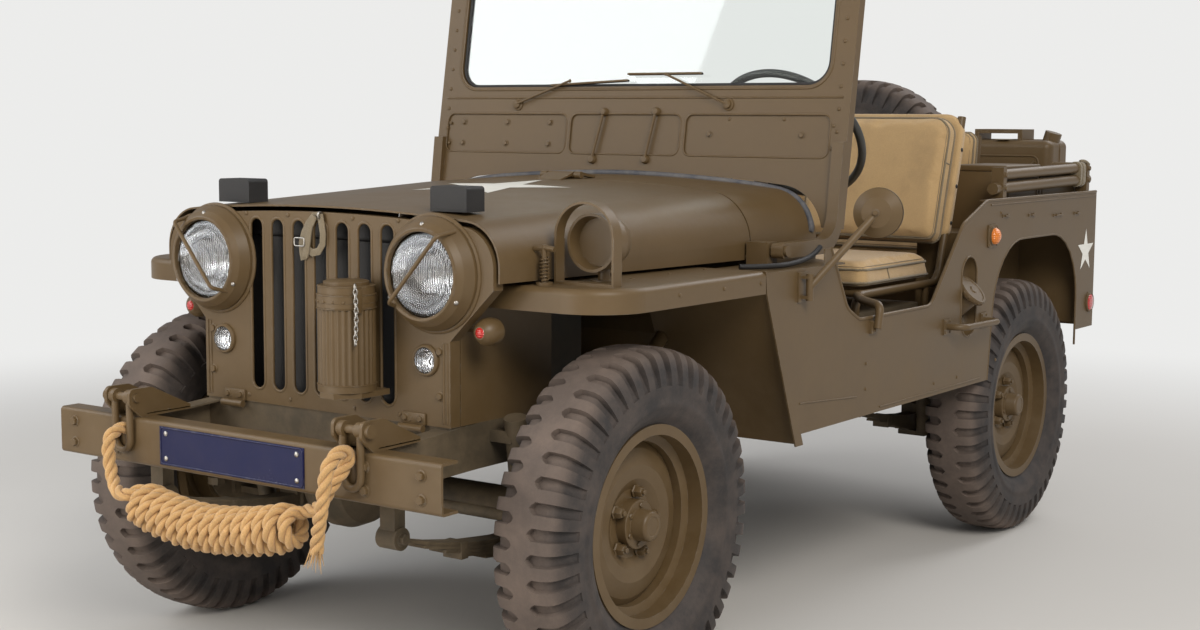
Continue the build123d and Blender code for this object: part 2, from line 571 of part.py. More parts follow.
def make_cowl():
    """The arch behind the hood with its shelf, firewall, toe board and instrument panel."""
    shell = arch_shell((COWL_X, HOOD_REAR_HALF_W, HOOD_REAR_TOP, COWL_CORNER_R, SHOULDER_Z - 1),
                       (COWL_REAR_X, COWL_REAR_HALF_W, HOOD_REAR_TOP + 4, COWL_CORNER_R, SHOULDER_Z - 1))
    firewall_face = arch_face(0, HOOD_REAR_HALF_W - 1, HOOD_REAR_TOP - 1, COWL_CORNER_R - 1, SHOULDER_Z - 2)
    firewall = Pos(COWL_X - SHEET, 0, 0) * extrude(firewall_face, SHEET)
    panel_face = arch_face(0, COWL_REAR_HALF_W - 1, HOOD_REAR_TOP + 3, COWL_CORNER_R - 1, 960)
    panel = Pos(COWL_REAR_X, 0, 0) * extrude(panel_face, SHEET)
    inner = BODY_HALF_W - SHEET
    lower_wall = block((COWL_X - SHEET, COWL_X), (-inner, inner), (FLOOR_Z + 110, SHOULDER_Z - 1))
    pieces = [shell, firewall, panel, lower_wall]
    for side in (-1, 1):
        shelf = [(COWL_X + 175, side * 560), (COWL_X + 175, side * (BODY_HALF_W - SHEET)), (COWL_REAR_X + 60, side * (BODY_HALF_W - SHEET)),
                 (COWL_REAR_X, side * 596), (COWL_X - 1, side * 560)]
        pieces.append(prism_xy(shelf, SHOULDER_Z - SHEET, SHOULDER_Z))
    return fused(pieces) - column_room()


def column_room():
    """Clear space round the steering column where it passes through the body."""
    return rod(column_point(-50), column_point(1050), COLUMN_R + 3)


def column_point(distance):
    """A point on the steering column, measured down from the steering wheel's centre."""
    slope = radians(COLUMN_SLOPE)
    return (STEER_X + distance * cos(slope), STEER_Y, STEER_Z - distance * sin(slope))


def side_outline():
    """The tub side's outline, from the fender's foot round the door cut and the wheel arch."""
    a = FRONT_AXLE_X
    # (x, z, corner radius), with x measured from the front axle
    front_low, front_top = skirt_x(BODY_LOW) - a - SEAT_GAP, skirt_x(SHOULDER_Z) - a - SEAT_GAP
    corners = [(front_low, BODY_LOW, 0), (front_top, SHOULDER_Z, 0), (-690, SHOULDER_Z, 0), (-690, 945, 0), (-722, 945, 0),
               (-812, 790, 70), (-880, SILL_Z, 60), (-1300, SILL_Z, 60), (-1500, 968, 60), (-1660, TOP_RAIL_Z, 60),
               (-2541, TOP_RAIL_Z, 0), (-2541, REAR_LOW, 0), (-2391, REAR_LOW, 0), (-2391, 906, 215),
               (-1742, 906, 215), (-1694, BODY_LOW, 0)]
    return [(a + x, z) for x, z, _ in corners], [r for _, _, r in corners]


def make_tub_side():
    """The left body side with its top flange."""
    points, radii = side_outline()
    panel = prism_xz(points, BODY_HALF_W - SHEET, BODY_HALF_W, radii)
    flange = block((BODY_REAR_X + SHEET, FRONT_AXLE_X - 1700.0), (BODY_HALF_W - 42, BODY_HALF_W - SHEET),
                   (TOP_RAIL_Z - SHEET, TOP_RAIL_Z))
    rear_post = block((BODY_REAR_X + SHEET, BODY_REAR_X + 44), (BODY_HALF_W - SHEET - 2, BODY_HALF_W - SHEET), (640, 1020))
    return fused([panel, flange, rear_post])


def make_tub_floor():
    """The floor, the toe board and the boxes over the rear wheels."""
    inner = BODY_HALF_W - SHEET
    floor = block((BODY_REAR_X + SHEET, COWL_X - 60), (-inner, inner), (FLOOR_Z, FLOOR_Z + SHEET))
    toe = prism_xz([(COWL_X - 60, FLOOR_Z), (COWL_X - SHEET, FLOOR_Z + 110), (COWL_X - SHEET, FLOOR_Z + 118),
                    (COWL_X - 65, FLOOR_Z)], -inner, inner)
    pieces = [floor, toe]
    low = FLOOR_Z
    for side in (-1, 1):
        y_wall = (side * WHEELHOUSE_Y, side * (WHEELHOUSE_Y + SHEET))
        y_span = (side * WHEELHOUSE_Y, side * inner)
        pieces.append(block((WHEELHOUSE_REAR_X, WHEELHOUSE_FRONT_X), y_wall, (low, WHEELHOUSE_TOP)))
        pieces.append(block((WHEELHOUSE_REAR_X, WHEELHOUSE_FRONT_X), y_span, (WHEELHOUSE_TOP - SHEET, WHEELHOUSE_TOP)))
        for x in (WHEELHOUSE_FRONT_X, WHEELHOUSE_REAR_X):
            pieces.append(block((x - SHEET / 2, x + SHEET / 2), y_span, (low, WHEELHOUSE_TOP)))
    tub = fused(pieces)
    for side in (-1, 1):
        tub -= block((WHEELHOUSE_REAR_X + SHEET / 2, WHEELHOUSE_FRONT_X - SHEET / 2),
                     (side * (WHEELHOUSE_Y + SHEET), side * (inner + 1)), (low - 1, low + SHEET + 1))
    return tub


def make_tub_rear():
    """The fixed rear panel."""
    panel = block((BODY_REAR_X, BODY_REAR_X + SHEET), (-BODY_HALF_W, BODY_HALF_W), (REAR_LOW, TOP_RAIL_Z))
    flange = block((BODY_REAR_X + SHEET, BODY_REAR_X + 40), (42 - BODY_HALF_W, BODY_HALF_W - 42),
                   (TOP_RAIL_Z - SHEET, TOP_RAIL_Z))
    return panel + flange


def make_hood():
    """The hood with its hinge tube and leaf."""
    shell = arch_shell((HOOD_FRONT_X, HOOD_FRONT_HALF_W, HOOD_FRONT_TOP, HOOD_CORNER_R, HOOD_LOW),
                       (HOOD_REAR_X, HOOD_REAR_HALF_W, HOOD_REAR_TOP, COWL_CORNER_R, HOOD_LOW))
    x, z = hood_hinge()
    tube = rod((x, -40, z), (x, 40, z), 9)
    leaf = prism_xz([(x, z), (x + 60, HOOD_REAR_TOP - 4), (x + 60, HOOD_REAR_TOP - 1), (x, z + 8)], -40, 40)
    bore = rod((x, -60, z), (x, 60, z), 5 + RUNNING_FIT)
    return fused([shell, tube, leaf]) - bore


def hood_hinge():
    """X and Z of the hood's hinge pin."""
    return (HOOD_REAR_X + COWL_X) / 2, HOOD_REAR_TOP + 9.0


def make_hood_blocks():
    """The two black blocks on which the folded windshield rests."""
    low = 1058.0
    pieces = []
    for side in (-1, 1):
        y = side * BLOCK_Y
        block_solid = block((BLOCK_X - 30, BLOCK_X + 30), (y - 50, y + 50), (low, BLOCK_TOP))
        pieces.append(fillet(block_solid.edges().filter_by(Axis.X).group_by(Axis.Z)[-1], 8) - hood_body())
    return group(pieces)


def hood_body():
    """The hood's outer form as a solid, to cut what stands on it."""
    front = arch_face(HOOD_FRONT_X, HOOD_FRONT_HALF_W, HOOD_FRONT_TOP, HOOD_CORNER_R, HOOD_LOW)
    rear = arch_face(HOOD_REAR_X, HOOD_REAR_HALF_W, HOOD_REAR_TOP, COWL_CORNER_R, HOOD_LOW)
    return loft([front, rear], ruled=True)


def make_windshield_frame():
    """The folding frame with its glass opening, pressed lower panel and hinge arms."""
    top, low = up_windshield(WINDSHIELD_TOP), up_windshield(985.0)
    half = WINDSHIELD_HALF_W
    ring = prism_yz([(-half, low), (half, low), (half, top), (-half, top)], -WINDSHIELD_T, 0, [0, 0, 60, 60])
    glass = prism_yz([(-GLASS_HALF_W, up_windshield(GLASS_LOW)), (GLASS_HALF_W, up_windshield(GLASS_LOW)),
                      (GLASS_HALF_W, up_windshield(GLASS_TOP)), (-GLASS_HALF_W, up_windshield(GLASS_TOP))],
                     -WINDSHIELD_T - 1, 1, 60)
    pocket = prism_yz([(-GLASS_HALF_W - 20, low - 1), (GLASS_HALF_W + 20, low - 1),
                       (GLASS_HALF_W + 20, up_windshield(GLASS_LOW) - 28), (-GLASS_HALF_W - 20, up_windshield(GLASS_LOW) - 28)],
                      -WINDSHIELD_T - 1, -2 * SHEET, [0, 0, 30, 30])
    ring = ring - glass - pocket
    # low y, high y of each pressed panel
    for y_low, y_high in ((-640, -207), (-194, 172), (186, 622)):
        z = (up_windshield(1158), up_windshield(1268))
        ring -= prism_yz([(y_low, z[0]), (y_high, z[0]), (y_high, z[1]), (y_low, z[1])], -SHEET, 1, 22)
    ring = in_windshield(ring)
    clear = 9.0
    under = arch_face(COWL_REAR_X - 80, COWL_REAR_HALF_W + 20, HOOD_REAR_TOP + 4 + clear, COWL_CORNER_R + 12, 900)
    ring -= extrude(under, 160)
    x_back = WINDSHIELD_X - WINDSHIELD_T + 6
    corner = [(x_back + 2, 1200), (x_back + 36, HINGE_Z - 18), (HINGE_X + 16, HINGE_Z - 18), (HINGE_X + 16, HINGE_Z + 18),
              (x_back + 62, HINGE_Z + 18), (x_back + 32, 1200)]
    for side in (-1, 1):
        y = sorted((side * (half - 32), side * half))
        ring += prism_xz(corner, *y, [0, 100, 12, 12, 70, 0])
    return ring - rod((HINGE_X, -900, HINGE_Z), (HINGE_X, 900, HINGE_Z), HINGE_PIN_R + RUNNING_FIT)


def make_windshield_glass():
    """The single pane, in the middle of the frame's depth."""
    half, low, top = GLASS_HALF_W - SEAT_GAP, up_windshield(GLASS_LOW) + SEAT_GAP, up_windshield(GLASS_TOP) - SEAT_GAP
    middle = -WINDSHIELD_T / 2
    pane = prism_yz([(-half, low), (half, low), (half, top), (-half, top)], middle - GLASS_T / 2, middle + GLASS_T / 2,
                    60 - SEAT_GAP)
    return in_windshield(pane)


def make_mirror():
    """The round mirror on its arm, at the left of the cowl."""
    foot = (FRONT_AXLE_X - 575.0, BODY_HALF_W + 22, 862.0)
    head = (FRONT_AXLE_X - 711.0, 850.0, 1036.0)
    bracket = block((foot[0] - 22, foot[0] + 22), (BODY_HALF_W, BODY_HALF_W + 5), (foot[2] - 36, foot[2] + 36))
    ears = [block((foot[0] - 12, foot[0] + 12), (BODY_HALF_W + 3, foot[1] + 2), (foot[2] + z, foot[2] + z + 8)) for z in (-28, 20)]
    pivot = rod((foot[0], foot[1], foot[2] - 32), (foot[0], foot[1], foot[2] + 32), 9)
    arm = rod(foot, head, 9)
    profile = make_face(Polyline((0, -18), (58, -18), (60, -10), (36, 8), (0, 14), close=True))
    dish = Plane(origin=head, z_dir=(1, 0.25, 0.05)) * revolve(Plane.XZ * profile, axis=Axis.Z)
    return fused([bracket, pivot, *ears, arm, dish])


def make_body_hardware():
    """Grab handles, windshield and hood hinge brackets, hood latches and the fuel filler."""
    a = FRONT_AXLE_X
    side_y = BODY_HALF_W
    handle = bent_tube([(a - 1400, side_y - 1, 690), (a - 1400, side_y + 52, 690), (a - 1650, side_y + 52, 686),
                        (a - 1650, side_y - 1, 686)], 9, 30)
    handle -= block((a - 1700, a - 1380), (side_y - 20, side_y), (650, 730))
    pads = [block((x - 22, x + 22), (side_y, side_y + 5), (z - 22, z + 22)) for x, z in ((a - 1400, 690), (a - 1650, 686))]
    bracket_y = (HOOD_REAR_HALF_W + 6, WINDSHIELD_HALF_W - 38)
    bracket = block((HINGE_X - 26, HINGE_X + 22), bracket_y, (SHOULDER_Z, HINGE_Z + 20))
    pin = rod((HINGE_X, bracket_y[1] - 5, HINGE_Z), (HINGE_X, WINDSHIELD_HALF_W + 2, HINGE_Z), HINGE_PIN_R)
    head = rod((HINGE_X, WINDSHIELD_HALF_W + 1, HINGE_Z), (HINGE_X, WINDSHIELD_HALF_W + 8, HINGE_Z), 13)
    latch_x, latch_y = a + 175.0, 530.0
    latch = rod((latch_x, latch_y, FENDER_TOP), (latch_x, latch_y, FENDER_TOP + 84), 6)
    latch += rod((latch_x, latch_y, FENDER_TOP), (latch_x, latch_y, FENDER_TOP + 6), 18)
    left = [fused([handle, *pads]), fused([bracket, pin, head]), latch]
    x, z = hood_hinge()
    hinge = rod((x, -64, z), (x, 64, z), 5)
    for y in ((-64, -44), (44, 64)):
        hinge += rod((x, y[0], z), (x, y[1], z), 9)
        hinge += prism_xz([(x, z), (x, z + 8), (x - 60, HOOD_REAR_TOP + 6), (x - 60, HOOD_REAR_TOP)], *y)
    hinge -= cowl_body()
    cap = rod((a - 1560, side_y - 30, 770), (a - 1562, side_y + 18, 790), 42)
    return group(left + [other_side(piece) for piece in left] + [hinge, cap - block((a - 1700, a - 1400), (600, side_y), (600, 900))])


def cowl_body():
    """The cowl's outer form as a solid, to cut what stands on it."""
    front = arch_face(COWL_X, HOOD_REAR_HALF_W, HOOD_REAR_TOP, COWL_CORNER_R, SHOULDER_Z - 1)
    rear = arch_face(COWL_REAR_X, COWL_REAR_HALF_W, HOOD_REAR_TOP + 4, COWL_CORNER_R, SHOULDER_Z - 1)
    return loft([front, rear], ruled=True)


def make_signal_lamps():
    """Front turn lamps, amber side markers, rear reflectors and tail lamps."""
    a = FRONT_AXLE_X
    lamp = turned_x([(0, 0), (0, 20), (12, 30), (40, 30), (62, 20), (66, 0)])
    front = Pos(a + 216, 440, 812) * lamp
    front += block((a + 222, a + 240), (RAIL_OUT_Y, 440), (808, 816))
    marker = turned_y([(0, 0), (0, 24), (14, 24), (24, 15), (26, 0)])
    side = Pos(a - 1699, BODY_HALF_W, 925) * marker
    rear = Pos(BODY_REAR_X - 14, 640, 730) * turned_x([(0, 0), (0, 34), (14, 38), (14, 0)])
    red = Pos(a - 2506, BODY_HALF_W, 668) * turned_y([(0, 0), (0, 32), (6, 32), (10, 26), (10, 0)])
    left = [front, side, rear, red]
    return group(left + [other_side(piece) for piece in left])


def make_top_bows():
    """The stowed tubes of the canvas top along each side, in their clamps."""
    a = FRONT_AXLE_X
    y = BODY_HALF_W - 22.0
    upper = bent_tube([(a - 1800, y, 1098), (a - 2500, y, 1106), (a - 2528, y - 120, 1106)], 15, 26)
    lower = rod((a - 1745, y, 1058), (a - 2505, y, 1068), 17)
    clamps = [block((x - 12, x + 12), (y - 19, y + 19), (TOP_RAIL_Z, 1120)) for x in (a - 1790, a - 2470)]
    bundle = fused([upper, lower, *clamps])
    return group([bundle, other_side(bundle)])


# Seats

def seat_frame(y, hinged):
    """Tubes of one front seat centred at y; a hinged one ends at its front pivot."""
    a = FRONT_AXLE_X
    half = SEAT_W / 2 - 12
    tubes = []
    for side in (-1, 1):
        edge = y + side * half
        back = [(a - 1602, edge, SEAT_RAIL_Z), (a - 1742, edge, 1264)]
        if hinged:
            tubes.append(bent_tube([(SEAT_PIVOT_X, edge, SEAT_RAIL_Z), *back], SEAT_TUBE_R, 60))
            tubes.append(rod((SEAT_PIVOT_X, edge - 10, SEAT_RAIL_Z), (SEAT_PIVOT_X, edge + 10, SEAT_RAIL_Z), 16))
        else:
            front = [(a - 1090, edge, FLOOR_Z + SHEET), (a - 1090, edge, SEAT_RAIL_Z)]
            tubes.append(bent_tube([*front, *back], SEAT_TUBE_R, [40, 60]))
        tubes.append(rod((a - 1520, edge, FLOOR_Z + SHEET), (a - 1520, edge, SEAT_RAIL_Z), SEAT_LEG_R))
    tubes.append(rod((a - 1738, y - half, 1250), (a - 1738, y + half, 1250), SEAT_LEG_R))
    tubes.append(rod((a - 1160, y - half, SEAT_RAIL_Z), (a - 1160, y + half, SEAT_RAIL_Z), SEAT_LEG_R))
    frame = fused(tubes)
    if hinged:
        return frame - rod((SEAT_PIVOT_X, y - 300, SEAT_RAIL_Z), (SEAT_PIVOT_X, y + 300, SEAT_RAIL_Z), SEAT_PIN_R + RUNNING_FIT)
    side_bar = bent_tube([(a - 1100, y + half, SEAT_RAIL_Z), (a - 1010, y + half + 60, SEAT_RAIL_Z),
                          (a - 960, BODY_HALF_W + 16, 786), (a - 948, BODY_HALF_W + 16, 728)], 11, [30, 20])
    clip = block((a - 965, a - 931), (BODY_HALF_W, BODY_HALF_W + 8), (716, 748))
    return fused([frame, side_bar, clip])


def seat_stands():
    """The two posts and pins on which the passenger's seat tips forward."""
    half = SEAT_W / 2 - 12
    stands = []
    for side in (-1, 1):
        edge = -SEAT_Y + side * half
        inner = sorted((edge - side * 12, edge - side * 20))
        post = block((SEAT_PIVOT_X - 18, SEAT_PIVOT_X + 18), inner, (FLOOR_Z + SHEET, SEAT_RAIL_Z + 16))
        pin = rod((SEAT_PIVOT_X, edge - side * 16, SEAT_RAIL_Z), (SEAT_PIVOT_X, edge + side * 12, SEAT_RAIL_Z), SEAT_PIN_R)
        stands.append(post + pin)
    return stands


def make_bench_frame():
    """Frame of the bench behind the front seats."""
    a = FRONT_AXLE_X
    bench = []
    for y in (-440, 440):
        bench.append(bent_tube([(a - 1860, y, FLOOR_Z + SHEET), (a - 1860, y, 796), (a - 2190, y, 796), (a - 2236, y, 1205)],
                               12, [40, 40]))
        bench.append(rod((a - 2140, y, FLOOR_Z + SHEET), (a - 2140, y, 796), SEAT_LEG_R))
    bench.append(rod((a - 2234, -440, 1190), (a - 2234, 440, 1190), SEAT_LEG_R))
    bench.append(rod((a - 1900, -440, 796), (a - 1900, 440, 796), 10))
    return fused(bench)


def cushion(x, y, z, radius):
    """A plain rounded seat pad."""
    pad = block(x, y, z)
    return fillet(pad.edges().filter_by(Axis.Z), radius)


def back_pad(x_low, z_low, x_high, z_high, y, depth):
    """A plain seat back leaning from its foot to its head."""
    length = hypot(x_high - x_low, z_high - z_low)
    ux, uz = (x_high - x_low) / length, (z_high - z_low) / length
    nx, nz = uz, -ux
    outline = [(x_low, z_low), (x_high, z_high), (x_high + nx * depth, z_high + nz * depth),
               (x_low + nx * depth, z_low + nz * depth)]
    return prism_xz(outline, y[0], y[1], 12)


def front_cushion(y):
    """Pad of one front seat."""
    a = FRONT_AXLE_X
    return cushion((a - 1570, a - 1122), (y - SEAT_W / 2, y + SEAT_W / 2),
                   (SEAT_RAIL_Z + SEAT_TUBE_R + SEAT_GAP, 872), 40)


def front_back(y):
    """Back of one front seat, in front of its tubes."""
    a = FRONT_AXLE_X
    return back_pad(a - 1617, 887.5, a - 1729.7, 1267.5, (y - SEAT_W / 2, y + SEAT_W / 2), 60)


def make_seat_cushions():
    """Pads of the driver's seat and the rear bench."""
    a = FRONT_AXLE_X
    return group([front_cushion(SEAT_Y), cushion((a - 2160, a - 1850), (-465, 465), (808.3, 880), 40)])


def make_seat_backs():
    """Backs of the driver's seat and the rear bench."""
    a = FRONT_AXLE_X
    return group([front_back(SEAT_Y), back_pad(a - 2188, 892, a - 2225, 1228, (-465, 465), 50)])


# Steering

def make_steering_column():
    """The column, its upper shaft and the steering box on the frame rail."""
    foot = column_point(1010)
    column = rod(column_point(34), foot, COLUMN_R)
    shaft = rod(column_point(8), column_point(40), SHAFT_R)
    box = block((foot[0] - 60, foot[0] + 50), (RAIL_OUT_Y, RAIL_OUT_Y + 26), (540, 600))
    return fused([column, shaft, box])


def make_steering_wheel():
    """Rim, three spokes and hub, square to the column."""
    slope = radians(COLUMN_SLOPE)
    plane = Plane(origin=(STEER_X, STEER_Y, STEER_Z), x_dir=(0, 1, 0), z_dir=(-cos(slope), 0, sin(slope)))
    rim = Torus(STEER_R - 11, 11)
    hub = Pos(0, 0, -14) * Cylinder(30, 28) - Pos(0, 0, -18) * Cylinder(SHAFT_R + RUNNING_FIT, 24)
    spokes = [Rot(0, 0, angle) * Pos(STEER_R / 2 + 5, 0, -4) * Box(STEER_R - 40, 22, 7) for angle in (90, 210, 330)]
    return plane * fused([rim, hub, *spokes])


def make_knuckle():
    """The left steering knuckle: yoke round the ball, brake plate, spindle and steering arm."""
    x, z = FRONT_AXLE_X, AXLE_Z
    wheel_y = TRACK / 2
    plate_y = wheel_y - DRUM_DEPTH - 8.0
    ear_low, ear_top = 62.0, KINGPIN_REACH
    pieces = [block((x - 48, x + 48), (plate_y - 13, plate_y), (z - ear_top, z + ear_top))]
    for low, top in ((ear_low, ear_top), (-ear_top, -ear_low)):
        pieces.append(rod((x, KINGPIN_Y, z + low), (x, KINGPIN_Y, z + top), 28))
        pieces.append(block((x - 28, x + 28), (KINGPIN_Y, plate_y - 10), (z + low, z + top)))
    pieces.append(rod((x, plate_y, z), (x, plate_y + 5, z), 120))
    pieces.append(rod((x, plate_y, z), (x, wheel_y - 6, z), SPINDLE_R))
    arm_z = (TIE_ROD_Z - 44, TIE_ROD_Z - 26)
    arm = [(x + 38, plate_y - 12), (x + 48, plate_y - 1), (TIE_ROD_X + 14, KINGPIN_Y + 16), (TIE_ROD_X + 18, KINGPIN_Y),
           (TIE_ROD_X + 12, KINGPIN_Y - 16), (TIE_ROD_X - 12, KINGPIN_Y - 16)]
    pieces.append(prism_xy(arm, *arm_z))
    pieces.append(rod((TIE_ROD_X, KINGPIN_Y, arm_z[0]), (TIE_ROD_X, KINGPIN_Y, TIE_ROD_Z + 4), STUD_R))
    bore = rod((x, KINGPIN_Y, z - 200), (x, KINGPIN_Y, z + 200), KINGPIN_R + RUNNING_FIT)
    return fused(pieces) - bore


def make_tie_rod():
    """The bar between the two steering arms, with an eye at each end."""
    y = KINGPIN_Y
    bar = rod((TIE_ROD_X, -y, TIE_ROD_Z), (TIE_ROD_X, y, TIE_ROD_Z), 13)
    for side in (-1, 1):
        eye = rod((TIE_ROD_X, side * y, TIE_ROD_Z - 20), (TIE_ROD_X, side * y, TIE_ROD_Z + 16), 20)
        bore = rod((TIE_ROD_X, side * y, TIE_ROD_Z - 24), (TIE_ROD_X, side * y, TIE_ROD_Z + 6), STUD_R + RUNNING_FIT)
        bar = bar + eye - bore
    return bar


# Wheels

def make_rim():
    """Rim and pressed disc of a left wheel, centred on the origin."""
    half = RIM_HALF_W
    seat_in = BEAD_R - RIM_SHEET
    well_in = WELL_R - RIM_SHEET
    rim = turned_y([(half, FLANGE_R), (half - RIM_SHEET, FLANGE_R), (half - RIM_SHEET, BEAD_R), (26, BEAD_R), (19, WELL_R),
                    (-19, WELL_R), (-26, BEAD_R), (RIM_SHEET - half, BEAD_R), (RIM_SHEET - half, FLANGE_R), (-half, FLANGE_R),
                    (-half, seat_in), (-29, seat_in), (-22, well_in), (22, well_in), (29, seat_in), (half, seat_in)])
    disc = turned_y([(0, well_in + 1), (12, 164), (22, 128), (18, 98), (6, 76), (6, DISC_HOLE_R), (-2, DISC_HOLE_R), (-2, 78),
                     (11, 101), (15, 128), (6, 160), (-7, well_in + 1)])
    return rim + disc


def make_wheel():
    """Rim, disc, hub and brake drum of a left wheel, centred on the origin."""
    drum = turned_y([(-DRUM_DEPTH, DRUM_R), (-8, DRUM_R), (-2, 110), (-2, 0), (-10, 0), (-10, DRUM_R - 8),
                     (-DRUM_DEPTH, DRUM_R - 8)])
    hub = turned_y([(-DRUM_DEPTH, 0), (-DRUM_DEPTH, 46), (-4, 46), (-4, DISC_HOLE_R), (24, DISC_HOLE_R), (26, 44),
                    (34, HUB_CAP_R), (62, HUB_CAP_R - 2), (64, 26), (64, 0)])
    bore = rod((0, -DRUM_DEPTH - 1, 0), (0, -5, 0), SPINDLE_R + RUNNING_FIT)
    return fused([make_rim(), drum, hub]) - bore


def make_tyre():
    """A plain tyre out to the lugs' tips, centred on the origin."""
    bead = BEAD_R + SEAT_GAP
    inside = RIM_HALF_W - RIM_SHEET - SEAT_GAP
    half = [(inside, bead), (inside, FLANGE_R + 1), (74, 234), (88, 262), (TYRE_HALF_W, 296), (90, 326), (82, 360),
            (TREAD_HALF_W, 374), (TREAD_HALF_W - 14, 381), (TREAD_HALF_W - 44, TYRE_R)]
    return turned_y([*half, *[(-y, r) for y, r in reversed(half)]])


# Rear load and front extras

def make_spare_wheel():
    """The spare's rim and disc, facing back."""
    return Pos(SPARE_X, SPARE_Y, SPARE_Z) * Rot(0, 0, 90) * make_rim()


def make_rear_carriers():
    """The spare wheel's bracket and the can's tray on the rear panel."""
    face_x = SPARE_X + 2.0 + SEAT_GAP
    post = block((BODY_REAR_X - 8, BODY_REAR_X), (SPARE_Y - 90, SPARE_Y + 90), (SPARE_Z - 260, TOP_RAIL_Z))
    stem = rod((BODY_REAR_X, SPARE_Y, SPARE_Z - 30), (face_x + 5, SPARE_Y, SPARE_Z - 30), 30)
    plate = rod((face_x + 12, SPARE_Y, SPARE_Z), (face_x, SPARE_Y, SPARE_Z), 72)
    hub = rod((face_x + 12, SPARE_Y, SPARE_Z), (SPARE_X - 8, SPARE_Y, SPARE_Z), DISC_HOLE_R - SEAT_GAP)
    low = CAN_LOW - SEAT_GAP
    depth = (CAN_X - CAN_SIZE[0] / 2 - 6, BODY_REAR_X)
    width = (CAN_Y - CAN_SIZE[1] / 2 - 5, CAN_Y + CAN_SIZE[1] / 2 + 5)
    tray = block(depth, width, (low - 5, low))
    lip = block((depth[0], depth[0] + 4), width, (low - 5, low + 40))
    back = block((BODY_REAR_X - 4, BODY_REAR_X), width, (low - 60, TOP_RAIL_Z))
    return group([fused([post, stem, plate, hub]), fused([tray, lip, back])])


def make_jerry_can():
    """The twenty litre can on its tray, with its spout and handles."""
    sx, sy, sz = CAN_SIZE
    can = block((CAN_X - sx / 2, CAN_X + sx / 2), (CAN_Y - sy / 2, CAN_Y + sy / 2), (CAN_LOW, CAN_LOW + sz - 40))
    can = fillet(can.edges().filter_by(Axis.Z), 30)
    can = fillet(can.edges().group_by(Axis.Z)[-1], 24)
    top = CAN_LOW + sz - 40
    bars = [block((CAN_X + x - 7, CAN_X + x + 7), (CAN_Y - 110, CAN_Y + 60), (top + 22, top + 36)) for x in (-45, 0, 45)]
    posts = [block((CAN_X - 52, CAN_X + 52), (CAN_Y + y - 8, CAN_Y + y + 8), (top - 4, top + 36)) for y in (-102, 52)]
    spout = rod((CAN_X, CAN_Y + 130, top - 40), (CAN_X, CAN_Y + 150, top + 26), 28)
    return fused([can, *bars, *posts, spout])


def make_pintle_hook():
    """The towing hook on the rear crossmember, with two chain eyes."""
    z = HOOK_Z
    panel_room = block((BODY_REAR_X, BODY_REAR_X + 9), (-90, 90), (REAR_LOW, 700))
    plate = block((BODY_REAR_X - 12, BODY_REAR_X + SHEET), (-60, 60), (z - 50, z + 50)) - panel_room
    shank = rod((BODY_REAR_X - 12, 0, z), (BODY_REAR_X - 60, 0, z), 26)
    x = BODY_REAR_X - 60.0
    jaw = prism_xz([(x + 4, z - 30), (x + 4, z + 44), (x - 70, z + 44), (x - 78, z + 16), (x - 58, z + 12), (x - 50, z + 22), (x - 22, z + 22),
                    (x - 22, z - 6), (x - 50, z - 6), (x - 56, z + 6), (x - 78, z + 4), (x - 74, z - 26), (x - 60, z - 34)], -20, 20)
    eyes = []
    for y in (-150, 150):
        tab = prism_xz([(BODY_REAR_X + SHEET, z - 30), (BODY_REAR_X + SHEET, z + 30), (BODY_REAR_X - 34, z + 26), (BODY_REAR_X - 56, z),
                        (BODY_REAR_X - 34, z - 26)], y - EYE_T / 2, y + EYE_T / 2)
        eyes.append(tab - rod((BODY_REAR_X - 28, y - 20, z), (BODY_REAR_X - 28, y + 20, z), EYE_R))
    return group([fused([plate, shank, jaw]), *eyes])


def make_canister():
    """The fluted tin with its lid and bands, hung on the grille."""
    x, y = GRILLE_X + 5.0 + CANISTER_R, CANISTER_Y
    body = rod((x, y, 676), (x, y, 862), CANISTER_R - 4)
    foot = rod((x, y, 676), (x, y, 690), CANISTER_R)
    band = rod((x, y, 856), (x, y, 882), CANISTER_R)
    lid = rod((x, y, 882), (x, y, 902), CANISTER_R - 2) + rod((x, y, 902), (x, y, 910), CANISTER_R - 14)
    saddle = block((GRILLE_X, GRILLE_X + 30), (y - 26, y + 26), (862, 876))
    cradle = prism_xy([(GRILLE_X, y - 60), (GRILLE_X, y + 60), (x + 20, y + 60), (x + CANISTER_R, y + 20), (x + CANISTER_R, y - 20),
                       (x + 20, y - 60)], 664, 676)
    return fused([body, foot, band, lid, saddle, cradle])


def hank_path():
    """The line through the middle of the wound hank."""
    return ThreePointArc((HANK_X, -239, 424), (HANK_X, -5, 396), (HANK_X, 232, 438))


def rope_route():
    """Points of the rope's single stretch, from the right shackle down into the wound hank."""
    # x from the bumper's face, y, z
    points = [(0.5, -345, 569), (34, -345, 569), (55.3, -340, 545), (55.3, -338, 505), (55.3, -318.6, 465.6)]
    route = [Vector(BUMPER_X + x, y, z) for x, y, z in points]
    path = hank_path()
    return [*route, path @ 0 - (path % 0) * 46, path @ 0]


def make_rope_line():
    """The single stretch of the tow rope."""
    points = rope_route()
    radii = []
    for before, at, after in zip(points, points[1:], points[2:]):
        first, second = at - before, after - at
        turn = radians(first.get_angle(second))
        radii.append(0.45 * min(first.length, second.length) / tan(turn / 2))
    print("rope radii", [round(r) for r in radii])
    return bent_tube(points, ROPE_R, radii)


def make_rope_hank():
    """The outer form of the wound hank and of its strands up to the left shackle."""
    path = hank_path()
    end = path @ 1
    bundle = sweep(Plane(origin=path @ 0, z_dir=path % 0) * Circle(HANK_R), path=path)
    top = (HANK_X, BRACKET_Y - 8, 574)
    return fused([bundle, Pos(end) * Sphere(HANK_R), rod(end, top, RISER_R), Pos(*top) * Sphere(RISER_R)])


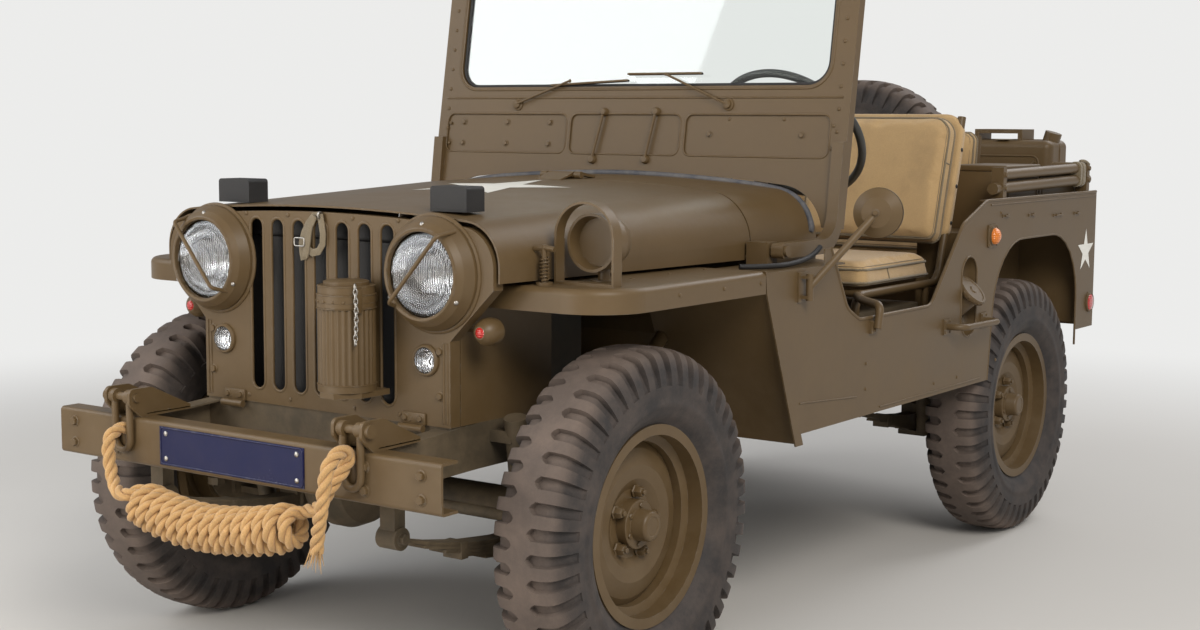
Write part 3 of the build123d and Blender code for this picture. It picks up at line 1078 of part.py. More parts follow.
def build():
    """Every node's shape by name."""
    left_knuckle = make_knuckle()
    fender = make_fender()
    tub_side = make_tub_side()
    nodes = {
        "frame": make_frame(),
        "front_bumper": make_front_bumper(),
        "tow_shackles": make_tow_shackles(),
        "number_plate": make_number_plate(),
        "grille": make_grille(),
        "radiator": make_radiator(),
        "engine": make_engine(),
        "driveline": make_driveline(),
        "axles": make_axles(),
        "suspension": make_suspension(),
        "exhaust": make_exhaust(),
        "fuel_tank": make_fuel_tank(),
        "fender_left": fender - column_room(),
        "fender_right": other_side(fender),
        "cowl": make_cowl(),
        "tub_left": tub_side,
        "tub_right": other_side(tub_side),
        "tub_floor": make_tub_floor(),
        "tub_rear": make_tub_rear(),
        "hood": make_hood(),
        "hood_blocks": make_hood_blocks(),
        "windshield_frame": make_windshield_frame(),
        "windshield_glass": make_windshield_glass(),
        "headlamps": make_headlamps(),
        "lamp_lenses": make_lamp_lenses(),
        "signal_lamps": make_signal_lamps(),
        "mirror": make_mirror(),
        "body_hardware": make_body_hardware(),
        "top_bows": make_top_bows(),
        "driver_frame": seat_frame(SEAT_Y, False),
        "bench_frame": make_bench_frame(),
        "seat_stands": group(seat_stands()),
        "seat_cushions": make_seat_cushions(),
        "seat_backs": make_seat_backs(),
        "passenger_frame": seat_frame(-SEAT_Y, True),
        "passenger_cushion": front_cushion(-SEAT_Y),
        "passenger_back": front_back(-SEAT_Y),
        "steering_column": make_steering_column(),
        "steering_wheel": make_steering_wheel(),
        "knuckle_left": left_knuckle,
        "knuckle_right": other_side(left_knuckle),
        "tie_rod": make_tie_rod(),
        "spare_wheel": make_spare_wheel(),
        "spare_tyre": Pos(SPARE_X, SPARE_Y, SPARE_Z) * Rot(0, 0, 90) * make_tyre(),
        "rear_carriers": make_rear_carriers(),
        "jerry_can": make_jerry_can(),
        "pintle_hook": make_pintle_hook(),
        "canister": make_canister(),
        "rope_line": make_rope_line(),
        "rope_hank": make_rope_hank(),
    }
    wheel, tyre = make_wheel(), make_tyre()
    for name, x, side in (("front_left", FRONT_AXLE_X, 1), ("front_right", FRONT_AXLE_X, -1),
                          ("rear_left", REAR_AXLE_X, 1), ("rear_right", REAR_AXLE_X, -1)):
        place = Pos(x, side * TRACK / 2, AXLE_Z)
        nodes["wheel_" + name] = place * (wheel if side > 0 else other_side(wheel))
        nodes["tyre_" + name] = place * tyre
    return nodes


for node_name, node_shape in build().items():
    export_step(node_shape, "parts/" + node_name + ".step")
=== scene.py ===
import json
from math import atan2, cos, degrees, hypot, pi, radians, sin, tan

import bmesh
import bpy
from mathutils import Matrix, Vector


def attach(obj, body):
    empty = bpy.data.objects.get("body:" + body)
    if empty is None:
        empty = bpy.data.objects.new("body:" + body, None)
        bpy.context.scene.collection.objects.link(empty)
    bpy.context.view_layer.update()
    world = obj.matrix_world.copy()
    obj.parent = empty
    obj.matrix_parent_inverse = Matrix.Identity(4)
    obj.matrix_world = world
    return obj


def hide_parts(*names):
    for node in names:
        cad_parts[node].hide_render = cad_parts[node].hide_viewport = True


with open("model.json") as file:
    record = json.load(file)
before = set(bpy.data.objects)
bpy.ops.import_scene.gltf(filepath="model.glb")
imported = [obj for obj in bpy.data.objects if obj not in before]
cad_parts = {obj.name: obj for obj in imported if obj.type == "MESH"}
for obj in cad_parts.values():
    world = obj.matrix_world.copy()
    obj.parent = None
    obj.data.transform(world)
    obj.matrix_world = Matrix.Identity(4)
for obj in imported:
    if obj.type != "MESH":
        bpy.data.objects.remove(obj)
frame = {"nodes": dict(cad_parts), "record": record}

# An open army 4x4 car. Pieces are placed in millimetres from the front axle at ground level:
# x forward, y to the vehicle's left, z up. Blender itself holds metres.

MM = 0.001
AXLE_X = 1.092
WHEELBASE = 2032
WHEEL_Y = 625
WHEEL_Z = 386
SPARE = (-2662, -180, 1010)
BUMPER_X = 554
GRILLE_X = 292
SIDE_Y = 725
REAR_X = -2545

for leftover in ("Cube", "Light", "Camera"):
    if leftover in bpy.data.objects:
        bpy.data.objects.remove(bpy.data.objects[leftover])
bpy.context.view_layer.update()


# Camera, floor and light

# metres and degrees
CAMERA_PLACE = (4.1889, 2.7477, 1.2571)
CAMERA_YAW, CAMERA_PITCH, CAMERA_ROLL = 215.38, -6.37, 0.31
LENS = 53.0
BACKGROUND = (0.84, 0.84, 0.83, 1)
# each lamp: place, aim, size, power, colour
LAMPS = [((3.6, 4.6, 4.4), (0, 0, 0.6), 2.6, 270, (1.0, 0.96, 0.9)),
         ((3.4, -3.6, 3.4), (0.6, 0, 0.7), 3.0, 90, (0.94, 0.97, 1.0)),
         ((-4.2, 1.2, 4.2), (-0.6, 0, 0.8), 3.0, 110, (0.97, 0.98, 1.0)),
         ((4.4, -0.9, 1.3), (1.4, 0, 0.6), 2.0, 55, (1.0, 0.95, 0.88))]


def add_camera():
    """The photograph's point of view."""
    yaw, pitch, roll = radians(CAMERA_YAW), radians(CAMERA_PITCH), radians(CAMERA_ROLL)
    ahead = Vector((cos(yaw) * cos(pitch), sin(yaw) * cos(pitch), sin(pitch)))
    right = ahead.cross(Vector((0, 0, 1))).normalized()
    up = right.cross(ahead)
    turned_right = right * cos(roll) + up * sin(roll)
    turned_up = up * cos(roll) - right * sin(roll)
    turn = Matrix((turned_right, turned_up, -ahead)).transposed().to_4x4()
    bpy.ops.object.camera_add()
    camera = bpy.context.object
    camera.data.sensor_width = 36
    camera.data.lens = LENS
    camera.data.clip_end = 200
    camera.matrix_world = Matrix.Translation(CAMERA_PLACE) @ turn
    bpy.context.scene.camera = camera


def add_studio():
    """Pale floor, pale surroundings and soft square lamps."""
    bpy.ops.mesh.primitive_plane_add(size=60, location=(0, 0, 0))
    floor = bpy.context.object
    floor.name = "floor"
    floor.data.materials.append(pale_floor())
    world = bpy.data.worlds.new("studio")
    bpy.context.scene.world = world
    world.use_nodes = True
    tree = world.node_tree
    tree.nodes.clear()
    path = node(tree, "LightPath")
    seen = maths(tree, "MAXIMUM", path.outputs["Is Camera Ray"], path.outputs["Is Transmission Ray"])
    around = node(tree, "Background", {"Color": (0.95, 0.97, 1.0, 1), "Strength": 0.42})
    behind = node(tree, "Background", {"Color": BACKGROUND, "Strength": 1.0})
    mixed = node(tree, "MixShader", {0: seen, 1: around.outputs[0], 2: behind.outputs[0]})
    node(tree, "OutputWorld", {"Surface": mixed.outputs[0]})
    for place, aim, size, power, colour in LAMPS:
        bpy.ops.object.light_add(type="AREA", location=place)
        lamp = bpy.context.object
        lamp.data.size = size
        lamp.data.energy = power
        lamp.data.color = colour
        lamp.rotation_euler = (Vector(aim) - Vector(place)).to_track_quat("-Z", "Y").to_euler()
    bpy.context.scene.view_settings.view_transform = "Standard"


# Shader helpers

def node(tree, kind, links=None, **settings):
    """A shader node with its settings, and with values or sockets on its inputs."""
    made = tree.nodes.new("ShaderNode" + kind)
    for key, value in settings.items():
        setattr(made, key, value)
    for key, value in (links or {}).items():
        if isinstance(value, bpy.types.NodeSocket):
            tree.links.new(value, made.inputs[key])
        else:
            made.inputs[key].default_value = value
    return made


def maths(tree, operation, first, second=0.0, **settings):
    """The outcome of a sum on one or two values."""
    return node(tree, "Math", {0: first, 1: second}, operation=operation, **settings).outputs[0]


def ranged(tree, value, low, high, to_low=0.0, to_high=1.0, **settings):
    """A value carried from one range over to another."""
    ends = {"Value": value, "From Min": low, "From Max": high, "To Min": to_low, "To Max": to_high}
    return node(tree, "MapRange", ends, **settings).outputs[0]


def own_place(tree):
    """A point's place in the piece's own coordinates."""
    return node(tree, "TexCoord").outputs["Object"]


def noise(tree, scale, detail, rough=0.5):
    """Cloudy noise through the piece."""
    return node(tree, "TexNoise", {"Vector": own_place(tree), "Scale": scale, "Detail": detail,
                                   "Roughness": rough}).outputs[0]


def node_group(name, inputs, output):
    """An empty shader group with named values in and one out; returns its tree, input and output node."""
    tree = bpy.data.node_groups.new(name, "ShaderNodeTree")
    for label, value in inputs:
        socket = tree.interface.new_socket(label, in_out="INPUT", socket_type="NodeSocketFloat")
        socket.default_value = value
    tree.interface.new_socket(output, in_out="OUTPUT", socket_type="NodeSocketFloat")
    return tree, tree.nodes.new("NodeGroupInput"), tree.nodes.new("NodeGroupOutput")


def grouped(tree, group, **values):
    """What one of the shared groups gives inside a material."""
    return node(tree, "Group", values, node_tree=group).outputs[0]


def edge_wear_group():
    """A mask of the corners that hands and tools have rubbed."""
    tree, given, result = node_group("edge wear", [("Reach", 0.003), ("Amount", 0.5)], "Mask")
    softened = node(tree, "Bevel", {"Radius": given.outputs["Reach"]}, samples=4)
    flat = node(tree, "NewGeometry")
    agree = node(tree, "VectorMath", {0: softened.outputs["Normal"], 1: flat.outputs["True Normal"]},
                 operation="DOT_PRODUCT")
    corner = ranged(tree, agree.outputs["Value"], 0.985, 0.8)
    patches = ranged(tree, noise(tree, 55.0, 4.0), 0.5, 0.62)
    both = maths(tree, "MULTIPLY", corner, patches)
    tree.links.new(maths(tree, "MULTIPLY", both, given.outputs["Amount"]), result.inputs["Mask"])
    return tree


def mottle_group():
    """Slow and quick changes of tone over a surface, round one."""
    tree, given, result = node_group("mottle", [("Scale", 3.0), ("Contrast", 0.2)], "Tone")
    centred = maths(tree, "SUBTRACT", noise(tree, given.outputs["Scale"], 5.0, 0.62), 0.5)
    spread = maths(tree, "MULTIPLY", centred, given.outputs["Contrast"])
    tree.links.new(maths(tree, "ADD", spread, 1.0), result.inputs["Tone"])
    return tree


def dust_group():
    """Dust that gathers low on the car and on faces that look up."""
    tree, given, result = node_group("road dust", [("Low", 0.25), ("High", 1.0), ("Amount", 0.4)], "Mask")
    place = node(tree, "SeparateXYZ", {0: own_place(tree)})
    lower = ranged(tree, place.outputs["Z"], given.outputs["High"], given.outputs["Low"])
    facing = node(tree, "SeparateXYZ", {0: node(tree, "TexCoord").outputs["Normal"]})
    upward = ranged(tree, facing.outputs["Z"], 0.3, 1.0, 0.0, 0.35)
    settled = maths(tree, "MAXIMUM", lower, upward)
    patches = ranged(tree, noise(tree, 9.0, 6.0, 0.7), 0.38, 0.72)
    both = maths(tree, "MULTIPLY", settled, patches)
    tree.links.new(maths(tree, "MULTIPLY", both, given.outputs["Amount"]), result.inputs["Mask"])
    return tree


def grain_group():
    """Fine relief: a coarse and a fine noise added."""
    tree, given, result = node_group("grain", [("Coarse", 200.0), ("Fine", 1200.0)], "Height")
    coarse = noise(tree, given.outputs["Coarse"], 2.0)
    fine = maths(tree, "MULTIPLY", noise(tree, given.outputs["Fine"], 2.0), 0.4)
    tree.links.new(maths(tree, "ADD", coarse, fine), result.inputs["Height"])
    return tree


def weave_group():
    """Crossing threads on whichever plane a face lies nearest to."""
    tree, given, result = node_group("weave", [("Threads", 700.0)], "Height")
    scaled = node(tree, "VectorMath", {0: own_place(tree), "Scale": given.outputs["Threads"]},
                  operation="SCALE")
    split = node(tree, "SeparateXYZ", {0: scaled.outputs[0]})
    normal = node(tree, "SeparateXYZ", {0: node(tree, "TexCoord").outputs["Normal"]})
    waves = {axis: maths(tree, "SINE", maths(tree, "MULTIPLY", split.outputs[axis], 2 * pi))
             for axis in "XYZ"}
    planes = []
    for across, along, facing in (("X", "Y", "Z"), ("Y", "Z", "X"), ("X", "Z", "Y")):
        product = maths(tree, "MULTIPLY", waves[across], waves[along])
        weight = maths(tree, "POWER", maths(tree, "ABSOLUTE", normal.outputs[facing]), 3.0)
        planes.append(maths(tree, "MULTIPLY", product, weight))
    total = maths(tree, "ADD", maths(tree, "ADD", planes[0], planes[1]), planes[2])
    tree.links.new(total, result.inputs["Height"])
    return tree


EDGE_WEAR, MOTTLE, DUST = edge_wear_group(), mottle_group(), dust_group()
GRAIN, WEAVE = grain_group(), weave_group()


def new_material(name, **plain):
    """A material's Principled shader with plain values; returns the material, its tree and the shader."""
    material = bpy.data.materials.new(name)
    material.use_nodes = True
    tree = material.node_tree
    tree.nodes.clear()
    shader = node(tree, "BsdfPrincipled", {key.replace("_", " "): value for key, value in plain.items()})
    node(tree, "OutputMaterial", {"Surface": shader.outputs[0]})
    return material, tree, shader


def mottled(tree, scale, contrast):
    """A tone that changes round one."""
    return grouped(tree, MOTTLE, Scale=scale, Contrast=contrast)


def toned(tree, colour, tone):
    """A colour made lighter and darker by a tone round one."""
    return node(tree, "VectorMath", {0: colour[:3], "Scale": tone}, operation="SCALE").outputs[0]


def laid_over(tree, mask, under, over):
    """One colour laid over another where the mask is one."""
    return node(tree, "Mix", {0: mask, 6: under, 7: over}, data_type="RGBA").outputs[2]


def bumped(tree, height, distance, strength=1.0):
    """A bump normal from a height."""
    return node(tree, "Bump", {"Height": height, "Distance": distance, "Strength": strength}).outputs[0]


def finished(tree, shader, colour, rough=None, normal=None):
    """Lead a finish's colour, roughness and relief to its shader."""
    for key, value in (("Base Color", colour), ("Roughness", rough), ("Normal", normal)):
        if value is not None:
            tree.links.new(value, shader.inputs[key])


def worn_paint(name, colour, rough, wear=0.5, dust=0.3, shine=0.35):
    """Sprayed paint with its slight orange peel, rubbed corners and road dust."""
    material, tree, shader = new_material(name, Specular_IOR_Level=shine)
    tone = mottled(tree, 2.6, 0.35)
    both = maths(tree, "MULTIPLY", tone, mottled(tree, 40.0, 0.14))
    rubbed = grouped(tree, EDGE_WEAR, Reach=0.0025, Amount=wear)
    dusty = grouped(tree, DUST, Low=0.3, High=1.15, Amount=dust)
    base = laid_over(tree, dusty, toned(tree, colour, both), (0.2, 0.145, 0.086, 1))
    uneven = maths(tree, "MULTIPLY", ranged(tree, dusty, 0.0, 1.0, rough, 0.85), tone)
    peel = bumped(tree, grouped(tree, GRAIN, Coarse=260.0, Fine=1500.0), 0.00006)
    finished(tree, shader, laid_over(tree, rubbed, base, (0.2, 0.19, 0.17, 1)), uneven, peel)
    return material


def old_rubber(name, colour, dust_colour, amount, rough=0.72):
    """Aged rubber with dry brown dust in its hollows and, on a tyre, on what meets the road."""
    material, tree, shader = new_material(name)
    patches = ranged(tree, noise(tree, 11.0, 7.0, 0.72), 0.4, 0.75, 0.0, amount)
    road = node(tree, "Attribute", attribute_name="road")
    trodden = maths(tree, "MULTIPLY", road.outputs["Fac"], 0.42)
    dusty = maths(tree, "ADD", patches, trodden, use_clamp=True)
    base = laid_over(tree, dusty, toned(tree, colour, mottled(tree, 14.0, 0.5)), dust_colour)
    relief = bumped(tree, grouped(tree, GRAIN, Coarse=350.0, Fine=1800.0), 0.0003)
    finished(tree, shader, base, ranged(tree, dusty, 0.0, 1.0, rough, 0.95), relief)
    return material


def woven_cloth(name, colour, threads, stain, dark):
    """Canvas or webbing: crossing threads, soft fading and a few stains."""
    material, tree, shader = new_material(name, Roughness=0.9, Sheen_Weight=0.25, Sheen_Roughness=0.5)
    both = maths(tree, "MULTIPLY", mottled(tree, 6.0, 0.35), mottled(tree, 260.0, 0.3))
    spots = ranged(tree, noise(tree, 7.0, 5.0), 0.52, 0.8, 0.0, stain)
    crumple = bumped(tree, noise(tree, 18.0, 4.0), 0.003, 0.5)
    weave = node(tree, "Bump", {"Height": grouped(tree, WEAVE, Threads=threads), "Distance": 0.0003,
                                "Normal": crumple})
    finished(tree, shader, laid_over(tree, spots, toned(tree, colour, both), dark), normal=weave.outputs[0])
    return material


def bright_metal(name, colour, rough, tarnish=0.3):
    """Bare or plated metal with fingerprints and fine scratches."""
    material, tree, shader = new_material(name, Metallic=1.0)
    uneven = maths(tree, "MULTIPLY", mottled(tree, 60.0, 0.8), rough)
    relief = bumped(tree, grouped(tree, GRAIN, Coarse=500.0, Fine=2500.0), 0.00003)
    finished(tree, shader, toned(tree, colour, mottled(tree, 20.0, tarnish)), uneven, relief)
    return material


def ridges(tree, scale, direction, profile="SIN"):
    """Even ridges across the piece."""
    return node(tree, "TexWave", {"Vector": own_place(tree), "Scale": scale}, wave_type="BANDS",
                bands_direction=direction, wave_profile=profile).outputs["Fac"]


def clear_glass(name, colour, ribs=0.0):
    """Window or lens glass; ribs are the upright flutes of a lamp's lens, in metres of relief."""
    material, tree, shader = new_material(name, Base_Color=colour, Transmission_Weight=1.0, IOR=1.45,
                                          Metallic=0.0)
    tree.links.new(maths(tree, "MULTIPLY", mottled(tree, 8.0, 1.2), 0.02), shader.inputs["Roughness"])
    if ribs:
        relief = maths(tree, "ADD", ridges(tree, 55.0, "Y"), ridges(tree, 9.0, "Z", "SAW"))
        tree.links.new(bumped(tree, relief, ribs), shader.inputs["Normal"])
    return material


def coloured_lens(name, colour):
    """Ribbed coloured plastic of a signal lamp."""
    material, tree, shader = new_material(name, Roughness=0.18, Coat_Weight=0.6)
    relief = bumped(tree, ridges(tree, 60.0, "Z"), 0.001)
    finished(tree, shader, toned(tree, colour, mottled(tree, 50.0, 0.3)), normal=relief)
    return material


def twisted_fibre(name, colour):
    """Manila rope: pale, dry fibres with their own uneven tone, and fine darker lines scattered by noise as
    painted shade of the fibres that lie deep.
    """
    material, tree, shader = new_material(name, Roughness=0.88, Sheen_Weight=0.2)
    # the coarse mottle is the rope's own uneven tone; the fine mottle darkens thin lines at random as
    # painted shade of deep-lying fibres
    both = maths(tree, "MULTIPLY", mottled(tree, 25.0, 0.5), mottled(tree, 420.0, 0.9))
    relief = bumped(tree, grouped(tree, GRAIN, Coarse=420.0, Fine=1600.0), 0.0012)
    finished(tree, shader, toned(tree, colour, both), normal=relief)
    return material


def pale_floor():
    """The studio's pale floor, which turns into the background's tone far from the car."""
    material, tree, shader = new_material("studio floor", Emission_Strength=1.0, Roughness=0.8,
                                          Specular_IOR_Level=0.0)
    near = toned(tree, (0.62, 0.6, 0.57, 1), mottled(tree, 0.6, 0.05))
    reach = node(tree, "VectorMath", {0: own_place(tree)}, operation="LENGTH")
    far = ranged(tree, reach.outputs["Value"], 2.3, 5.5, interpolation_type="SMOOTHSTEP")
    nothing = (0, 0, 0, 1)
    finished(tree, shader, laid_over(tree, far, near, nothing))
    tree.links.new(laid_over(tree, far, nothing, BACKGROUND), shader.inputs["Emission Color"])
    return material


# finish name: (material, slot of the record)
FINISH = {
    "olive": (worn_paint("olive paint", (0.108, 0.068, 0.029), 0.42), "body_paint"),
    "chassis": (worn_paint("chassis paint", (0.072, 0.055, 0.034), 0.62, 0.3, 0.8), "chassis_paint"),
    "black": (old_rubber("black rubber", (0.012, 0.011, 0.011), (0.06, 0.05, 0.042, 1), 0.2, 0.6),
              "black_paint"),
    "plate": (worn_paint("plate enamel", (0.007, 0.009, 0.050), 0.25, dust=0.05, shine=0.3), "plate_blue"),
    "iron": (worn_paint("engine iron", (0.075, 0.07, 0.06), 0.6, dust=0.5), "engine_iron"),
    "steel": (bright_metal("bare steel", (0.42, 0.40, 0.37), 0.38), "bare_steel"),
    "mirror": (bright_metal("silvered glass", (0.86, 0.87, 0.88), 0.05, 0.05), "bare_steel"),
    "tyre": (old_rubber("tyre rubber", (0.027, 0.023, 0.022), (0.2, 0.148, 0.118, 1), 0.34), "tyre_rubber"),
    "canvas": (woven_cloth("seat canvas", (0.47, 0.31, 0.145), 420.0, 0.5, (0.2, 0.13, 0.065, 1)),
               "seat_canvas"),
    "webbing": (woven_cloth("strap webbing", (0.2, 0.155, 0.092), 520.0, 0.3, (0.1, 0.07, 0.04, 1)),
                "seat_canvas"),
    "lens": (clear_glass("lens glass", (0.97, 0.98, 1.0, 1), 0.0012), "lens_glass"),
    "window": (clear_glass("window glass", (0.93, 0.97, 0.95, 1)), "window_glass"),
    "amber": (coloured_lens("amber lens", (0.75, 0.2, 0.012)), "lamp_plastic"),
    "red": (coloured_lens("red lens", (0.5, 0.022, 0.016)), "lamp_plastic"),
    "grip": (old_rubber("steering wheel rim", (0.03, 0.029, 0.026), (0.09, 0.08, 0.06, 1), 0.3, 0.35),
             "wheel_rim_plastic"),
    "seal": (old_rubber("aged seal", (0.05, 0.052, 0.062), (0.24, 0.22, 0.2, 1), 0.75, 0.6), "black_paint"),
    "rope": (twisted_fibre("manila fibre", (0.52, 0.31, 0.125)), "rope_fibre"),
    "white": (worn_paint("white star paint", (0.78, 0.76, 0.70), 0.45, 0.2), "body_paint"),
    "dial": (worn_paint("dial black", (0.012, 0.012, 0.012), 0.3, 0.0, 0.0), "black_paint"),
}

# The record's slot of a CAD node and the finish that it gets
CAD_FINISH = {"body_paint": "olive", "chassis_paint": "chassis", "black_paint": "black",
              "plate_blue": "plate", "engine_iron": "iron", "bare_steel": "steel", "tyre_rubber": "tyre",
              "seat_canvas": "canvas", "lens_glass": "lens", "window_glass": "window",
              "lamp_plastic": "amber", "wheel_rim_plastic": "grip", "rope_fibre": "rope"}


# Modelling helpers

def at(x, y, z):
    """A point from millimetres ahead, to the left and up."""
    return Vector((AXLE_X + x * MM, y * MM, z * MM))


def only(obj):
    """Select one object and nothing else."""
    bpy.ops.object.select_all(action="DESELECT")
    obj.select_set(True)
    bpy.context.view_layer.objects.active = obj


def open_whole(obj):
    """Enter edit mode with all of the mesh selected."""
    only(obj)
    bpy.ops.object.mode_set(mode="EDIT")
    bpy.ops.mesh.select_all(action="SELECT")


def close_mesh():
    """Back to object mode."""
    bpy.ops.object.mode_set(mode="OBJECT")


def close_outward():
    """Turn every face outward and go back to object mode."""
    bpy.ops.mesh.select_all(action="SELECT")
    bpy.ops.mesh.normals_make_consistent(inside=False)
    close_mesh()


def twin_of(obj):
    """A copy of an object with a mesh of its own."""
    twin = obj.copy()
    twin.data = obj.data.copy()
    bpy.context.collection.objects.link(twin)
    return twin


def pick(obj, kind, test):
    """Select the points, edges or faces of the open mesh whose middle passes the test."""
    bpy.ops.mesh.select_mode(type=kind)
    bpy.ops.mesh.select_all(action="DESELECT")
    work = bmesh.from_edit_mesh(obj.data)
    if kind == "VERT":
        for point in work.verts:
            point.select_set(bool(test(point.co)))
    elif kind == "EDGE":
        for edge in work.edges:
            if test((edge.verts[0].co + edge.verts[1].co) / 2):
                edge.select_set(True)
    else:
        for face in work.faces:
            if test(face.calc_center_median(), face.normal):
                face.select_set(True)
    work.select_flush_mode()
    bmesh.update_edit_mesh(obj.data)


def modify(obj, kind, **settings):
    """Add a modifier and apply it."""
    only(obj)
    made = obj.modifiers.new(kind.lower(), kind)
    for key, value in settings.items():
        setattr(made, key, value)
    bpy.ops.object.modifier_apply(modifier=made.name)


def settle(obj):
    """Move an object's place and turn into its mesh."""
    only(obj)
    bpy.ops.object.transform_apply(location=True, rotation=True, scale=True)


def keep(obj, name, finish, body="vehicle_body", angle=35):
    """Name a finished piece, give it its finish and let it ride on its body."""
    settle(obj)
    obj.name = name
    obj.data.name = name
    material, slot = FINISH[finish]
    obj.data.materials.clear()
    obj.data.materials.append(material)
    bpy.ops.object.shade_smooth_by_angle(angle=radians(angle))
    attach(obj, body)
    return obj


def joined(parts):
    """One object from several."""
    bpy.ops.object.select_all(action="DESELECT")
    for part in parts:
        part.select_set(True)
    bpy.context.view_layer.objects.active = parts[0]
    bpy.ops.object.join()
    return bpy.context.object


def box(low, high, edge=0.0, segments=2):
    """A box between two corners in millimetres, with rounded edges."""
    centre = [(a + b) / 2 for a, b in zip(low, high)]
    size = [abs(b - a) * MM for a, b in zip(low, high)]
    bpy.ops.mesh.primitive_cube_add(size=1, location=at(*centre), scale=size)
    obj = bpy.context.object
    settle(obj)
    if edge:
        modify(obj, "BEVEL", width=edge * MM, segments=segments, limit_method="ANGLE")
    return obj


def turned(profile, sides=32):
    """A turned form about its own Z from (height, radius) in millimetres; a zero radius closes an end."""
    rings = [(z * MM, r * MM) for z, r in profile]
    start = 1 if rings[0][1] == 0 else 0
    z, r = rings[start]
    bpy.ops.mesh.primitive_circle_add(vertices=sides, radius=r, location=(0, 0, 0))
    obj = bpy.context.object
    bpy.ops.object.mode_set(mode="EDIT")
    bpy.ops.transform.translate(value=(0, 0, z))
    for next_z, next_r in rings[start + 1:]:
        bpy.ops.mesh.extrude_edges_move(TRANSFORM_OT_translate={"value": (0, 0, next_z - z)})
        if next_r == 0:
            bpy.ops.mesh.merge(type="CENTER")
            break
        bpy.ops.transform.resize(value=(next_r / r, next_r / r, 1), center_override=(0, 0, next_z))
        z, r = next_z, next_r
    if start:
        first_z, first_r = rings[1]
        pick(obj, "EDGE",
             lambda p: abs(p.z - first_z) < 1e-6 and abs(hypot(p.x, p.y) - first_r) < first_r * 0.1)
        bpy.ops.mesh.extrude_edges_move(TRANSFORM_OT_translate={"value": (0, 0, rings[0][0] - first_z)})
        bpy.ops.mesh.merge(type="CENTER")
    close_outward()
    return obj


def stood(obj, foot, towards=(0, 0, 1), turn=0):
    """Stand a form made about Z on a point, with its Z towards a direction."""
    aim = Vector(towards).to_track_quat("Z", "Y").to_matrix().to_4x4()
    obj.matrix_world = Matrix.Translation(at(*foot)) @ aim @ Matrix.Rotation(radians(turn), 4, "Z")
    settle(obj)
    return obj


def turned_at(profile, sides, foot, towards=(0, 0, 1)):
    """A turned form stood on a point, with its Z towards a direction."""
    return stood(turned(profile, sides), foot, towards)


def copies(pattern, places):
    """One object from copies of a pattern at (foot, direction) pairs, in millimetres."""
    made = [stood(twin_of(pattern), foot, towards) for foot, towards in places]
    bpy.data.objects.remove(pattern)
    return joined(made)


def tube(points, radius, order=3, closed=False, sides=3):
    """A round bar or hose along a smooth line; radius may be one for each point."""
    curve = bpy.data.curves.new("line", "CURVE")
    curve.dimensions = "3D"
    curve.bevel_depth = MM
    curve.bevel_resolution = sides
    curve.use_fill_caps = not closed
    curve.resolution_u = 6
    spline = curve.splines.new("NURBS" if order > 2 else "POLY")
    spline.points.add(len(points) - 1)
    for index, (point, place) in enumerate(zip(spline.points, points)):
        point.co = (*at(*place), 1)
        point.radius = radius[index] if isinstance(radius, (list, tuple)) else radius
    spline.use_cyclic_u = closed
    if order > 2:
        spline.order_u = order
        spline.use_endpoint_u = not closed
    obj = bpy.data.objects.new("line", curve)
    bpy.context.collection.objects.link(obj)
    only(obj)
    bpy.ops.object.convert(target="MESH")
    return bpy.context.object


def plate(outline, normal, low, high, edge=0.0, segments=2):
    """A flat plate: an outline in the plane square to an axis, between two places along that axis, all in
    millimetres. For "x" the outline is (y, z), for "y" (x, z) and for "z" (x, y)."""
    axis = "xyz".index(normal)
    bpy.ops.mesh.primitive_circle_add(vertices=len(outline), radius=1, fill_type="NGON")
    obj = bpy.context.object
    for point, (a, b) in zip(obj.data.vertices, outline):
        place = [a, b]
        place.insert(axis, low)
        point.co = at(*place)
    open_whole(obj)
    shift = [0.0, 0.0, 0.0]
    shift[axis] = (high - low) * MM
    bpy.ops.mesh.extrude_region_move(TRANSFORM_OT_translate={"value": shift})
    close_outward()
    if edge:
        modify(obj, "BEVEL", width=edge * MM, segments=segments, limit_method="ANGLE")
    return obj


def hex_head(radius, height, washer=1.35):
    """A hexagon bolt head on its washer, standing on the origin."""
    head = turned([(1.2, radius), (1.2 + height * 0.8, radius), (1.2 + height, radius * 0.82),
                   (1.2 + height, 0)], 6)
    ring = turned([(-0.5, radius * washer), (1.0, radius * washer), (1.4, radius * washer - 0.6), (1.4, 0)],
                  16)
    return joined([head, ring])


def round_head(radius, height):
    """A domed rivet or screw head, standing on the origin."""
    return turned([(-0.4, radius), (height * 0.35, radius * 0.97), (height * 0.8, radius * 0.68),
                   (height, radius * 0.25), (height, 0)], 12)


# Tow rope

def hank_point(t):
    """A point on the wound hank's middle line: t is 0 at its right end and 1 at its left end."""
    y = -239 + 471 * t
    z = 424 - 120.7 * t + 134.7 * t * t
    return Vector((BUMPER_X + 55.3, y, z))


